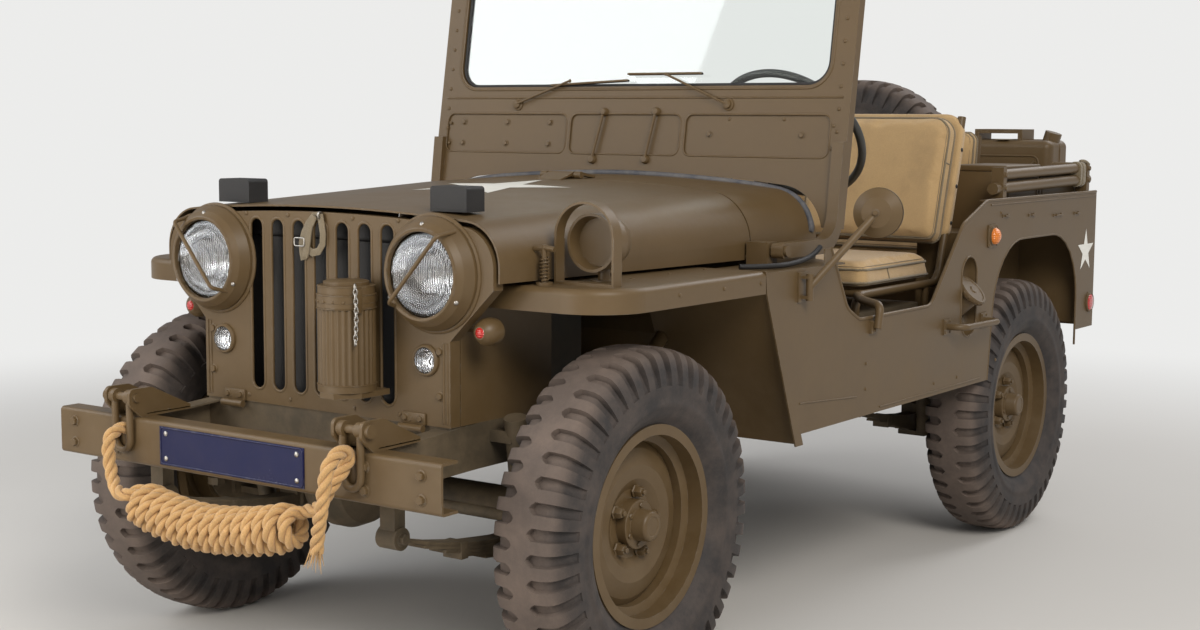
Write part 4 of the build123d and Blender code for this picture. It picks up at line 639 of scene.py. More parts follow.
def rope_points():
    """The tow rope's own points, from the right shackle through the wound turns to the left one."""
    x = BUMPER_X
    points = [(x + 0.5, -345, 569), (x + 34, -345, 569), (x + 55.3, -340, 545), (x + 56, -336, 508),
              (x + 60, -324, 476), (x + 69, -304, 455), (x + 81, -281, 446), (x + 87, -260, 444),
              (x + 84, -245, 444), (x + 73, -238.5, 446)]
    turns, per_turn = 15, 12
    for step in range(turns * per_turn + 1):
        t = step / (turns * per_turn)
        centre = hank_point(t * 1.02 - 0.01)
        slope = (hank_point(t + 0.01) - hank_point(t - 0.01)).normalized()
        side = Vector((1, 0, 0))
        up = slope.cross(side)
        ends = min(1.0, 0.66 + min(t, 1 - t) * 6)
        radius = 39.5 * ends * (1 + 0.03 * sin(7 * t * turns))
        angle = radians(80) + 2 * pi * step / per_turn
        points.append(tuple(centre + side * radius * cos(angle) - up * radius * sin(angle)))
    points += [(x + 46, 232, 462), (x + 36, 241, 465), (x + 35, 259, 469), (x + 41, 281, 477),
               (x + 48, 303, 495), (x + 50, 325, 528), (x + 30, 342, 562), (x + 17, 345, 580),
               (x + 22, 347, 598), (x + 52, 350, 602), (x + 84, 350, 578), (x + 90, 347, 535),
               (x + 88, 338, 492), (x + 80, 322, 456), (x + 72, 310, 425), (x + 68, 303, 396)]
    return points


def smooth_line(points):
    """The line that a NURBS spline draws through a route, in metres."""
    curve = bpy.data.curves.new("route", "CURVE")
    curve.dimensions = "3D"
    curve.resolution_u = 8
    spline = curve.splines.new("NURBS")
    spline.points.add(len(points) - 1)
    for point, place in zip(spline.points, points):
        point.co = (*at(*place), 1)
    spline.order_u = 3
    spline.use_endpoint_u = True
    holder = bpy.data.objects.new("route", curve)
    bpy.context.collection.objects.link(holder)
    bpy.context.view_layer.update()
    mesh = bpy.data.meshes.new_from_object(holder.evaluated_get(bpy.context.evaluated_depsgraph_get()))
    line = []
    for point in mesh.vertices:
        if not line or (point.co - line[-1]).length > 0.0008:
            line.append(point.co.copy())
    bpy.data.objects.remove(holder)
    bpy.data.meshes.remove(mesh)
    return line


def carried_frames(line):
    """At each point of a line a side and an up direction that don't twist."""
    frames = []
    side = None
    for index in range(len(line)):
        ahead = (line[min(index + 1, len(line) - 1)] - line[max(index - 1, 0)]).normalized()
        if side is None:
            side = ahead.orthogonal().normalized()
        side = (side - ahead * side.dot(ahead)).normalized()
        frames.append((side, ahead.cross(side)))
    return frames


def laid_strands(line, offset, radius, lay, count=3):
    """Strands twisted round a line in metres, as one mesh."""
    frames = carried_frames(line)
    strands = []
    for strand in range(count):
        curve = bpy.data.curves.new("strand", "CURVE")
        curve.dimensions = "3D"
        curve.bevel_depth = radius
        curve.bevel_resolution = 2
        curve.use_fill_caps = True
        spline = curve.splines.new("POLY")
        spline.points.add(len(line) - 1)
        gone = 0.0
        for index, (point, (side, up)) in enumerate(zip(line, frames)):
            if index:
                gone += (point - line[index - 1]).length
            angle = 2 * pi * (gone / lay + strand / count)
            place = point + (side * cos(angle) + up * sin(angle)) * offset
            spline.points[index].co = (*place, 1)
        obj = bpy.data.objects.new("strand", curve)
        bpy.context.collection.objects.link(obj)
        only(obj)
        bpy.ops.object.convert(target="MESH")
        strands.append(bpy.context.object)
    return joined(strands)


def add_tow_rope():
    """The three-strand rope wound on the bumper, with its frayed end."""
    line = smooth_line(rope_points())
    rope = keep(laid_strands(line, 0.0078, 0.0073, 0.085), "tow_rope", "rope", angle=60)
    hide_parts("rope_line", "rope_hank")
    end, before = line[-1], line[-4]
    down = (end - before).normalized()
    wisps = []
    for index in range(14):
        turn = index * 2.4
        spread = Vector((cos(turn), sin(turn), 0)) * 0.004 * (1 + index % 3)
        start = end - down * 0.012 + spread
        tip = end + down * (0.026 + 0.006 * (index % 4)) + spread * 2.1
        middle = (start + tip) / 2 + Vector((sin(turn * 3), cos(turn * 2), 0)) * 0.003
        wisp = tube([tuple((p - at(0, 0, 0)) / MM) for p in (start, middle, tip)], [1.7, 1.4, 0.4], sides=1)
        wisps.append(wisp)
    frayed = keep(joined(wisps), "rope_frayed_end", "rope", angle=60)


# Tyres and wheels

PITCHES = 46
# (distance from the tyre's middle, radius) from the bead to the middle of the tread
TYRE_PROFILE = [(61, 204), (61, 222), (66, 229), (75, 235), (83, 247), (87, 258), (90, 262), (91, 272),
                (89.5, 276), (92, 288), (92.5, 306), (91, 322), (88, 338), (84, 352), (79, 364), (72, 374),
                (62, 380), (46, 384), (31, 385.6), (18, 386), (0, 386)]


def tread_half():
    """The tyre's left half: one pitch is spun, its groove pressed in, and the pitch repeated round."""
    bpy.ops.mesh.primitive_plane_add(size=0.001, location=(0, 0, 0))
    obj = bpy.context.object
    bpy.ops.object.mode_set(mode="EDIT")
    bpy.ops.mesh.merge(type="CENTER")
    y, r = TYRE_PROFILE[0]
    bpy.ops.transform.translate(value=(0, y * MM, r * MM))
    for next_y, next_r in TYRE_PROFILE[1:]:
        step = (0, (next_y - y) * MM, (next_r - r) * MM)
        bpy.ops.mesh.extrude_region_move(TRANSFORM_OT_translate={"value": step})
        y, r = next_y, next_r
    bpy.ops.mesh.select_all(action="SELECT")
    pitch = 2 * pi / PITCHES
    bpy.ops.mesh.spin(steps=8, angle=pitch, center=(0, 0, 0), axis=(0, 1, 0))
    bpy.ops.mesh.select_all(action="SELECT")
    bpy.ops.mesh.remove_doubles(threshold=0.00002)
    bpy.ops.mesh.normals_make_consistent(inside=False)
    work = bmesh.from_edit_mesh(obj.data)
    turns = [atan2(point.co.x, point.co.z) for point in work.verts]
    middle = (min(turns) + max(turns)) / 2

    def share(point):
        return abs(atan2(point.x, point.z) - middle) / pitch

    for low, high, shift in ((0.2, 0.3, 13), (0.1, 0.2, 4)):
        pick(obj, "VERT", lambda p: abs(p.y - 0.018) < 0.0005 and low < share(p) < high)
        bpy.ops.transform.translate(value=(0, shift * MM, 0))
    pick(obj, "FACE", lambda p, n: share(p) < 0.25 and p.y > 0.0185 and hypot(p.x, p.z) > 0.305)
    bpy.ops.mesh.inset(thickness=0.0022, depth=-0.0135, use_boundary=True, use_even_offset=True)
    for low, high, lift in ((0.300, 0.312, 0.0095), (0.312, 0.326, 0.006), (0.326, 0.342, 0.0025)):
        pick(obj, "VERT", lambda p: share(p) < 0.23 and low < hypot(p.x, p.z) < high and p.y < 0.0905)
        bpy.ops.transform.translate(value=(0, lift, 0))
    close_mesh()
    bpy.ops.object.empty_add(location=(0, 0, 0), rotation=(0, pitch, 0))
    step = bpy.context.object
    modify(obj, "ARRAY", count=PITCHES, use_relative_offset=False, use_object_offset=True,
           offset_object=step, use_merge_vertices=True, use_merge_vertices_cap=True, merge_threshold=0.0001)
    bpy.data.objects.remove(step)
    return obj


def whole_tyre():
    """Both halves of the tread, the right one turned by half a pitch."""
    left = tread_half()
    right = twin_of(left)
    right.scale = (1, -1, 1)
    settle(right)
    right.rotation_euler = (0, pi / PITCHES, 0)
    settle(right)
    tyre = joined([left, right])
    open_whole(tyre)
    bpy.ops.mesh.remove_doubles(threshold=0.00015)
    bpy.ops.mesh.normals_make_consistent(inside=False)
    close_mesh()
    road = tyre.data.attributes.new("road", "FLOAT", "POINT")
    for point, mark in zip(tyre.data.vertices, road.data):
        mark.value = min(1, max(0, (hypot(point.co.x, point.co.z) - 0.345) / 0.03))
    return tyre


def wheel_dressing():
    """Nuts, flange bolts, cap ring and valve of a wheel that faces +Z, about the origin."""
    nuts = [turned([(8, 15), (11, 15.5), (13, 13), (26, 12.4), (30, 9.5), (30, 0)], 6) for _ in range(5)]
    studs = [turned([(26, 6.2), (35, 6), (36, 5), (36, 0)], 12) for _ in range(5)]
    for index, (nut, stud) in enumerate(zip(nuts, studs)):
        angle = 2 * pi * index / 5 + 0.3
        for part in (nut, stud):
            part.location = (0.070 * cos(angle), 0.070 * sin(angle), 0)
            settle(part)
    bolts = []
    for index in range(6):
        bolt = hex_head(6.5, 7)
        angle = 2 * pi * index / 6
        bolt.location = (0.0425 * cos(angle), 0.0425 * sin(angle), 0.027)
        settle(bolt)
        bolts.append(bolt)
    flange = turned([(24, 54.5), (30, 54), (31.5, 52), (31.5, 36), (38, 35.5), (40, 34.4), (60, 33.6),
                     (64.5, 31), (66.5, 27), (66.5, 22), (65, 20), (65, 0)], 48)
    stem = turned([(-12, 5.5), (10, 5.5), (12, 4.4), (26, 4.2), (27.5, 3), (27.5, 0)], 14)
    stem.location = (0.167, -0.03, 0)
    settle(stem)
    return joined([*nuts, *studs, *bolts, flange, stem])


def add_wheels():
    """Tyres with their lugs, and the wheels' nuts and caps."""
    tyre_form = whole_tyre()
    dress_form = wheel_dressing()
    for name, x, side in (("front_left", 0, 1), ("front_right", 0, -1),
                          ("rear_left", -WHEELBASE, 1), ("rear_right", -WHEELBASE, -1)):
        tyre = twin_of(tyre_form)
        tyre.location = at(x, side * WHEEL_Y, WHEEL_Z)
        tyre.rotation_euler = (0, radians(11 * len(name)), 0)
        keep(tyre, "tread_" + name, "tyre", name + "_wheel", 40)
        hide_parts("tyre_" + name)
        dress = stood(twin_of(dress_form), (x, side * WHEEL_Y, WHEEL_Z), (0, side, 0), 205)
        keep(dress, "nuts_" + name, "olive", name + "_wheel")
    tyre_form.rotation_euler = (0, 0, radians(90))
    settle(tyre_form)
    tyre_form.location = at(*SPARE)
    keep(tyre_form, "tread_spare", "tyre", angle=40)
    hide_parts("spare_tyre")
    bpy.data.objects.remove(dress_form)
    nuts = copies(turned([(0, 15), (4, 15.5), (6, 13), (18, 12.4), (22, 9.5), (22, 0)], 6),
                  [((SPARE[0] - 6, SPARE[1] + 60 * cos(a), SPARE[2] + 60 * sin(a)), (-1, 0, 0))
                   for a in (0.5, 2.6, 4.7)])
    keep(nuts, "spare_nuts", "olive")


# Seats

def rounded(a_low, a_high, b_low, b_high, radius, steps=6):
    """A rounded rectangle's outline; radius is one value, or one for each corner from low a and low b on."""
    radii = radius if isinstance(radius, (list, tuple)) else [radius] * 4
    corners = [(a_low, b_low, 1, 1, 180), (a_high, b_low, -1, 1, 270), (a_high, b_high, -1, -1, 0),
               (a_low, b_high, 1, -1, 90)]
    points = []
    for (a, b, a_in, b_in, start), r in zip(corners, radii):
        for step in range(steps + 1):
            angle = radians(start + 90 * step / steps)
            points.append((a + a_in * r + r * cos(angle), b + b_in * r + r * sin(angle)))
    return points


def swollen(pad, cap, rest_axis):
    """A pad puffed up by cloth under pressure. No point moves further than the cap, in metres, and the
    face that rests on the frame hardly moves."""
    modify(pad, "REMESH", mode="VOXEL", voxel_size=0.006)
    start = [point.co.copy() for point in pad.data.vertices]
    cloth = pad.modifiers.new("cloth", "CLOTH")
    cloth.settings.use_pressure = True
    cloth.settings.uniform_pressure_force = 4.0
    cloth.settings.effector_weights.gravity = 0
    only(pad)
    for frame_number in range(1, 21):
        bpy.context.scene.frame_set(frame_number)
    bpy.ops.object.modifier_apply(modifier="cloth")
    bpy.context.scene.frame_set(1)
    levels = [place[rest_axis] for place in start]
    low, high = min(levels), max(levels)
    for point, place, level in zip(pad.data.vertices, start, levels):
        share = 0.12 + 0.88 * min(1, (level - low) / (high - low) * 1.6)
        moved = point.co - place
        allowed = cap * share
        if moved.length > allowed:
            point.co = place + moved * (allowed / moved.length)
    return pad


def snapped(pad, points, outward=0.6):
    """Points in millimetres moved onto a pad's skin, and a little out of it."""
    found = []
    for point in points:
        _, place, normal, _ = pad.closest_point_on_mesh(at(*point))
        found.append(tuple((place + normal * outward * MM - at(0, 0, 0)) / MM))
    return found


def upholstered(low, high, plane, corner, cap):
    """A boxed pad with a piped seam round both faces and a sewn joint on each side; returns the pad and its
    trim. The plane is "z" for a cushion and "x" for a back."""
    axis = "xyz".index(plane)
    inset = 7
    spans = [(low[i] + inset, high[i] - inset) for i in range(3)]
    across = [spans[i] for i in range(3) if i != axis]
    outline = rounded(*across[0], *across[1], corner)
    pad = plate(outline, plane, *spans[axis], 15, 3)
    swollen(pad, cap, axis)
    full = [(low[i] + 2, high[i] - 2) for i in range(3) if i != axis]
    loop = rounded(*full[0], *full[1], corner, 9)
    trim = []
    for level in (low[axis] + 13, high[axis] - 13):
        places = []
        for a, b in loop:
            place = [a, b]
            place.insert(axis, level)
            places.append(place)
        trim.append(tube(snapped(pad, places), 3.4, closed=True))
        inner = [[spot + (middle - spot) * 0.045 for spot, middle in zip(place, middles(low, high))]
                 for place in places]
        for place in inner:
            place[axis] = level + (9 if level > (low[axis] + high[axis]) / 2 else -9)
        trim.append(tube(snapped(pad, inner, 0.2), 0.9, closed=True, sides=1))
    for side in (low[1] + 2, high[1] - 2):
        end = [(low[i] + high[i]) / 2 for i in range(3)]
        end[1] = side
        across_axis = 0 if axis == 2 else 2
        end[across_axis] = low[across_axis] + (high[across_axis] - low[across_axis]) * 0.62
        places = []
        for step in range(7):
            place = list(end)
            place[axis] = low[axis] + 13 + (high[axis] - low[axis] - 26) * step / 6
            places.append(place)
        trim.append(tube(snapped(pad, places), 2.2))
    return pad, joined(trim)


def middles(low, high):
    """The middle of a box given by two corners."""
    return [(a + b) / 2 for a, b in zip(low, high)]


def leant_back(obj, x, z, degrees_back):
    """Lean an object back about a line across the car."""
    pivot = Matrix.Translation(at(x, 0, z))
    obj.matrix_world = pivot @ Matrix.Rotation(radians(-degrees_back), 4, "Y") @ pivot.inverted()
    settle(obj)
    return obj


def ride_over(obj, y_shift):
    """A copy of an object moved sideways, in millimetres."""
    twin = twin_of(obj)
    twin.location = (0, y_shift * MM, 0)
    settle(twin)
    return twin


SEAT_Y = 380
SEAT_LEFT, SEAT_RIGHT = SEAT_Y + 235, SEAT_Y - 235
BENCH_HALF = 465
FRONT_LEAN = degrees(atan2(112.7, 380))
BENCH_LEAN = degrees(atan2(37, 336))
FRONT_PIVOT, BENCH_PIVOT = (-1617, 887.5), (-2188, 892)
# pad: low corner, high corner, plane, corner radius and how far it may swell, in metres
CUSHION = ((-1570, SEAT_RIGHT, 804.5), (-1122, SEAT_LEFT, 874), "z", 38, 0.013)
BACK = ((-1617, SEAT_RIGHT, 887.5), (-1557, SEAT_LEFT, 1283), "x", [30, 30, 62, 62], 0.012)
BENCH_CUSHION = ((-2160, -BENCH_HALF, 808.6), (-1850, BENCH_HALF, 882), "z", 38, 0.013)
BENCH_BACK = ((-2188, -BENCH_HALF, 892), (-2138, BENCH_HALF, 1229), "x", 38, 0.010)


def add_seats():
    """Canvas cushions and backs of both front seats and the bench."""
    cushion, cushion_trim = upholstered(*CUSHION)
    back, back_trim = upholstered(*BACK)
    cover = rounded(SEAT_RIGHT - 3, SEAT_LEFT + 3, 925, 1292, [22, 22, 62, 62])
    back = joined([back, plate(cover, "x", -1646, -1614, 12, 3)])
    for part in (back, back_trim):
        leant_back(part, *FRONT_PIVOT, FRONT_LEAN)
    bench, bench_trim = upholstered(*BENCH_CUSHION)
    rest, rest_trim = upholstered(*BENCH_BACK)
    for part in (rest, rest_trim):
        leant_back(part, *BENCH_PIVOT, BENCH_LEAN)
    studs = [round_head(6.5, 3) for _ in range(3)]
    for stud, z in zip(studs, (960, 1065, 1170)):
        stood(stud, (-1630 - (z - 887.5) * 0.297, SEAT_Y + 237.4, z), (0, 1, 0))
    studs = joined(studs)
    for name, shape, node_name, fill in (("driver_cushion", cushion, "seat_cushions", 0.75),
                                         ("driver_back", back, "seat_backs", 0.7),
                                         ("bench_cushion", bench, "seat_cushions", 0.75),
                                         ("bench_back", rest, "seat_backs", 0.7)):
        if name.startswith("driver"):
            twin = ride_over(shape, -2 * SEAT_Y)
            twin_name = name.replace("driver", "passenger")
            keep(twin, twin_name + "_pad", "canvas", "passenger_seat", 60)
            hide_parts(twin_name)
        keep(shape, name, "canvas", angle=60)
        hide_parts(node_name)
    for name, shape in (("cushion_piping", cushion_trim), ("back_piping", back_trim), ("back_snaps", studs)):
        finish = "black" if name == "back_snaps" else "webbing"
        keep(ride_over(shape, -2 * SEAT_Y), "passenger_" + name, finish, "passenger_seat", 60)
        keep(shape, "driver_" + name, finish, angle=60)
    keep(joined([bench_trim, rest_trim]), "bench_piping", "webbing", angle=60)


# Lamps

HEADLAMP_Y, HEADLAMP_Z = 329, 931
MARKER_Y, MARKER_Z = 307, 746


def add_headlamp_insides():
    """Silvered reflectors with their bulbs, bezel screws and the rings of the small lamps."""
    reflectors, bulbs, rings, screws = [], [], [], []
    for side in (-1, 1):
        place = (GRILLE_X, side * HEADLAMP_Y, HEADLAMP_Z)
        reflectors.append(turned_at([(-64, 0), (-62, 16), (-52, 45), (-28, 65), (-2, 78.5), (27, 84.5)], 64,
                                    place, (1, 0, 0)))
        bulbs.append(turned_at([(-60, 9), (-34, 9), (-26, 12), (-10, 12), (-4, 8), (-1, 0)], 20, place,
                               (1, 0, 0)))
        for turn in (90, 210, 330):
            angle = radians(turn)
            spot = (GRILLE_X + 38, place[1] + 106 * cos(angle), HEADLAMP_Z + 106 * sin(angle))
            screws.append(stood(round_head(5, 3.4), spot, (1, 0.7 * cos(angle), 0.7 * sin(angle))))
        low = (GRILLE_X, side * MARKER_Y, MARKER_Z)
        rings.append(turned_at([(0, 35), (5, 34.5), (8, 31.5), (8, 28.2), (4, 27.4), (0, 27.4)], 40, low,
                               (1, 0, 0)))
        reflectors.append(turned_at([(-12, 0), (-8, 16), (-1, 21.5)], 32, low, (1, 0, 0)))
        rings.append(turned_at([(0, 128), (3, 127.5), (6, 124), (6, 121.3), (0, 121.3)], 72, place,
                               (1, 0, 0)))
        rings.append(turned_at([(30, 99), (47, 98.6), (48.5, 96), (47.5, 91.4), (36, 91)], 72, place,
                               (1, 0, 0)))
    keep(joined(reflectors), "lamp_reflectors", "mirror", angle=60)
    keep(joined(bulbs), "lamp_bulbs", "steel", angle=60)
    keep(joined(rings), "lamp_rings", "olive")
    keep(joined(screws), "bezel_screws", "steel")


def add_signal_lamps():
    """Turn lamps, side markers, tail lamps and reflectors, each a lens in its painted housing."""
    housings, red, amber = [], [], []
    for side in (-1, 1):
        lamp = (216, side * 440, 812)
        housings.append(turned_at([(0, 0), (1, 14), (12, 27), (28, 30), (44, 28.6), (56, 21), (62, 13.5),
                                   (62, 11)], 40, lamp, (1, 0, 0)))
        red.append(turned_at([(60, 12.5), (63, 11), (65.5, 6), (66, 0)], 24, lamp, (1, 0, 0)))
        low_y, high_y = sorted((side * 372.5, side * 440))
        housings.append(box((222, low_y, 806), (240, high_y, 815), 2))
        for x in (228, 236):
            housings.append(stood(hex_head(5, 4), (x, side * 384, 815), (0, 0, 1)))
        marker = (-1699, side * SIDE_Y, 925)
        housings.append(plate(rounded(-1732, -1666, 892, 958, 8), "y", side * 725.2, side * 729.5, 1.2))
        housings.append(turned_at([(4, 27.5), (8, 27), (9, 24.4), (4, 24.2)], 36, marker, (0, side, 0)))
        amber.append(turned_at([(4, 24), (13, 24), (21, 18), (25.5, 8), (26, 0)], 36, marker, (0, side, 0)))
        for x, z in ((-1725, 899), (-1673, 899), (-1725, 951), (-1673, 951)):
            housings.append(stood(round_head(4, 2.4), (x, side * 729.4, z), (0, side, 0)))
        tail = (REAR_X, side * 640, 730)
        housings.append(turned_at([(0, 40), (9, 40), (14, 36), (14, 31)], 40, tail, (-1, 0, 0)))
        red.append(turned_at([(10, 31.5), (13.8, 29), (14, 20), (14, 0)], 36, tail, (-1, 0, 0)))
        disc = (-2506, side * SIDE_Y, 668)
        housings.append(turned_at([(0.2, 32), (6, 31.6), (8, 29), (7, 26.5)], 40, disc, (0, side, 0)))
        red.append(turned_at([(5, 26.8), (8.5, 24), (9.8, 12), (10, 0)], 36, disc, (0, side, 0)))
    shells = keep(joined(housings), "signal_housings", "olive")
    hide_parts("signal_lamps")
    keep(joined(red), "red_lenses", "red", angle=50)
    keep(joined(amber), "amber_lenses", "amber", angle=50)


# Front

def stadium(y, half, low, high, steps=10):
    """The outline of an upright slot with round ends, as (y, z)."""
    return rounded(y - half, y + half, low, high, half, steps)


def add_grille_pressings():
    """Rolled lips of the seven slots, the corner bolts, the side beads, the rivets and the hinges."""
    lips = []
    for index in range(-3, 4):
        edge = [(GRILLE_X - 1.6, y, z) for y, z in stadium(index * 66, 21.2, 637.8, 1030.2)]
        lips.append(tube(edge, 3.8, 2, True))
    for side in (-1, 1):
        for offset in (354, 364):
            y = side * offset
            lips.append(tube([(GRILLE_X - 0.5, y, 614), (GRILLE_X - 0.5, y, 700), (GRILLE_X - 0.5, y, 786)],
                             3))
    keep(joined(lips), "slot_lips", "olive", angle=60)
    bolts = copies(hex_head(8, 6), [((GRILLE_X, side * y, z), (1, 0, 0))
                                    for side in (-1, 1)
                                    for y, z in ((345, 672), (345, 767), (262, 618), (288, 618))])
    keep(bolts, "grille_bolts", "olive")
    rivets = copies(round_head(5, 3), [((GRILLE_X, y, z), (1, 0, 0))
                                       for y in (-230, -98, 98, 230) for z in (622, 1038)])
    keep(rivets, "grille_rivets", "olive")
    hinges = []
    for side in (-1, 1):
        y_low, y_high = sorted((side * 240, side * 306))
        hinges.append(box((GRILLE_X, y_low, 606), (GRILLE_X + 6, y_high, 632), 2))
        hinges.append(turned_at([(0, 0), (0, 8), (66, 8), (66, 0)], 20, (GRILLE_X + 12, y_low, 600),
                                (0, 1, 0)))
        for y in (y_low + 12, y_high - 12):
            hinges.append(stood(hex_head(6.5, 5), (GRILLE_X + 6, y, 620), (1, 0, 0)))
    keep(joined(hinges), "grille_hinges", "olive")


def band(points, width, plane, low, high, edge=0.0):
    """A flat strap of even width along a line lying in the plane square to an axis."""
    left, right = [], []
    for index, (a, b) in enumerate(points):
        before, after = points[max(index - 1, 0)], points[min(index + 1, len(points) - 1)]
        run = hypot(after[0] - before[0], after[1] - before[1])
        over = ((after[1] - before[1]) / run * width / 2, (before[0] - after[0]) / run * width / 2)
        left.append((a + over[0], b + over[1]))
        right.append((a - over[0], b - over[1]))
    return plate(left + right[::-1], plane, low, high, edge)


def add_grille_strap():
    """The webbing loop that hangs from a hook on the grille, with its wire buckle."""
    loop = [band([(7, 1041), (-14, 1038), (-30, 1022), (-44, 1000), (-52, 978), (-50, 958), (-46, 941)], 19,
                 "x", GRILLE_X + 2, GRILLE_X + 5, 0.8),
            band([(7, 1044), (12, 1022), (16, 1000), (14, 978), (2, 962), (-16, 958), (-34, 966),
                  (-50, 980)], 17, "x",
                 GRILLE_X + 5.5, GRILLE_X + 8.5, 0.8),
            band([(-6, 1040), (-20, 1018), (-26, 994), (-30, 970), (-36, 948)], 17, "x", GRILLE_X + 9,
                 GRILLE_X + 12, 0.8)]
    keep(joined(loop), "grille_strap", "webbing")
    wire = tube([(GRILLE_X + 13, y, z) for y, z in rounded(-66, -36, 972, 990, 4, 2)], 1.8, 2, True)
    hook = tube([(GRILLE_X - 1, 7, 1030), (GRILLE_X + 8, 7, 1034), (GRILLE_X + 14, 7, 1042),
                 (GRILLE_X + 10, 7, 1049), (GRILLE_X + 2, 7, 1047)], 2.6)
    keep(joined([wire, hook]), "strap_fittings", "steel", angle=60)


CANISTER = (GRILLE_X + 68, 142)


def add_canister_detail():
    """Flutes, lid rim, band with rivets, latch chain and foot rings of the hanging tin."""
    x, y = CANISTER
    outline = []
    for step in range(168):
        angle = 2 * pi * step / 168
        r = 60.4 + 1.9 * cos(28 * angle)
        outline.append((x + r * cos(angle), y + r * sin(angle)))
    flutes = plate(outline, "z", 692, 855)
    keep(flutes, "canister_flutes", "olive", angle=60)
    rings = []
    for z, r, thick in ((691, 63.2, 1.6), (854, 63.4, 1.8), (883, 63.2, 2.0), (901, 61.2, 1.6),
                        (866, 63.3, 1.0)):
        ring = turned([(-thick, r - 1), (-thick * 0.4, r + thick * 0.6), (thick * 0.4, r + thick * 0.6),
                       (thick, r - 1)], 64)
        rings.append(stood(ring, (x, y, z)))
    rings.append(turned_at([(0, 47), (1.6, 44), (1.6, 30), (3.0, 27), (3.0, 0)], 48, (x, y, 910)))
    for turn in (-50, -28, -6, 16, 38):
        out = (cos(radians(turn)), sin(radians(turn)), 0)
        rings.append(stood(round_head(3.6, 2.4), (x + 63 * out[0], y + 63 * out[1], 869), out))
    latch_low, latch_high = (x + 18, y + 56, 846), (x + 38, y + 64, 898)
    rings.append(box(latch_low, latch_high, 2))
    keep(joined(rings), "canister_bands", "olive")
    links = []
    for index in range(13):
        share = index / 12
        spot = (x + 40 + 3 * sin(share * pi), y + 63 + 6 * sin(share * pi), 902 - 116 * share)
        bpy.ops.mesh.primitive_torus_add(major_radius=6 * MM, minor_radius=1.5 * MM, major_segments=12,
                                         minor_segments=6)
        link = bpy.context.object
        link.scale = (0.7, 1.25, 1)
        settle(link)
        links.append(stood(link, spot, (1, 0.4, 0) if index % 2 else (-0.4, 1, 0), 0))
    keep(joined(links), "canister_chain", "steel", angle=60)


def add_bumper_detail():
    """Bolts of the bumper, its brackets and the number plate, and the plate's rim."""
    bolts = []
    for side in (-1, 1):
        for y in (side * 372, side * 520):
            for z in (518, 566):
                bolts.append(((BUMPER_X, y, z), (1, 0, 0)))
    keep(copies(hex_head(9.5, 8), bolts), "bumper_bolts", "olive")
    screws = [((BUMPER_X + 2, y, z), (1, 0, 0)) for y in (-212, 185) for z in (515, 570)]
    keep(copies(round_head(6, 3.4), screws), "plate_screws", "steel")
    rim = tube([(BUMPER_X + 2.2, y, z) for y, z in rounded(-229, 202, 503, 582, 8, 4)], 2, 2, True)
    keep(rim, "plate_rim", "plate", angle=60)
    ends = []
    for side in (-1, 1):
        y_low, y_high = sorted((side * 303, side * 387))
        ends.append(box((BUMPER_X - 150, y_low, 599), (BUMPER_X - 24, y_high, 604), 1.5))
        for x in (BUMPER_X - 128, BUMPER_X - 88, BUMPER_X - 48):
            for y in (side * 303, side * 387):
                ends.append(stood(hex_head(7, 6), (x, y - side * 8 * (1 if abs(y) > 345 else -1), 604)))
    keep(joined(ends), "bracket_bolts", "olive")


# Windshield

SCREEN_X, SCREEN_Z, SCREEN_RAKE = -884, 1153, 9.07
SCREEN_SLOPE = 0.1597


def on_screen(y, z, proud=0.0):
    """A point on the upright windshield's front face for a height above ground, before it is leant back."""
    return (SCREEN_X + proud, y, SCREEN_Z + (z - SCREEN_Z) / cos(radians(SCREEN_RAKE)))


def keep_on_screen(parts, name, finish, angle=35):
    """Join pieces made upright, lean them back and let them fold with the windshield."""
    piece = leant_back(joined(parts), SCREEN_X, SCREEN_Z, SCREEN_RAKE)
    return keep(piece, name, finish, "windshield", angle)


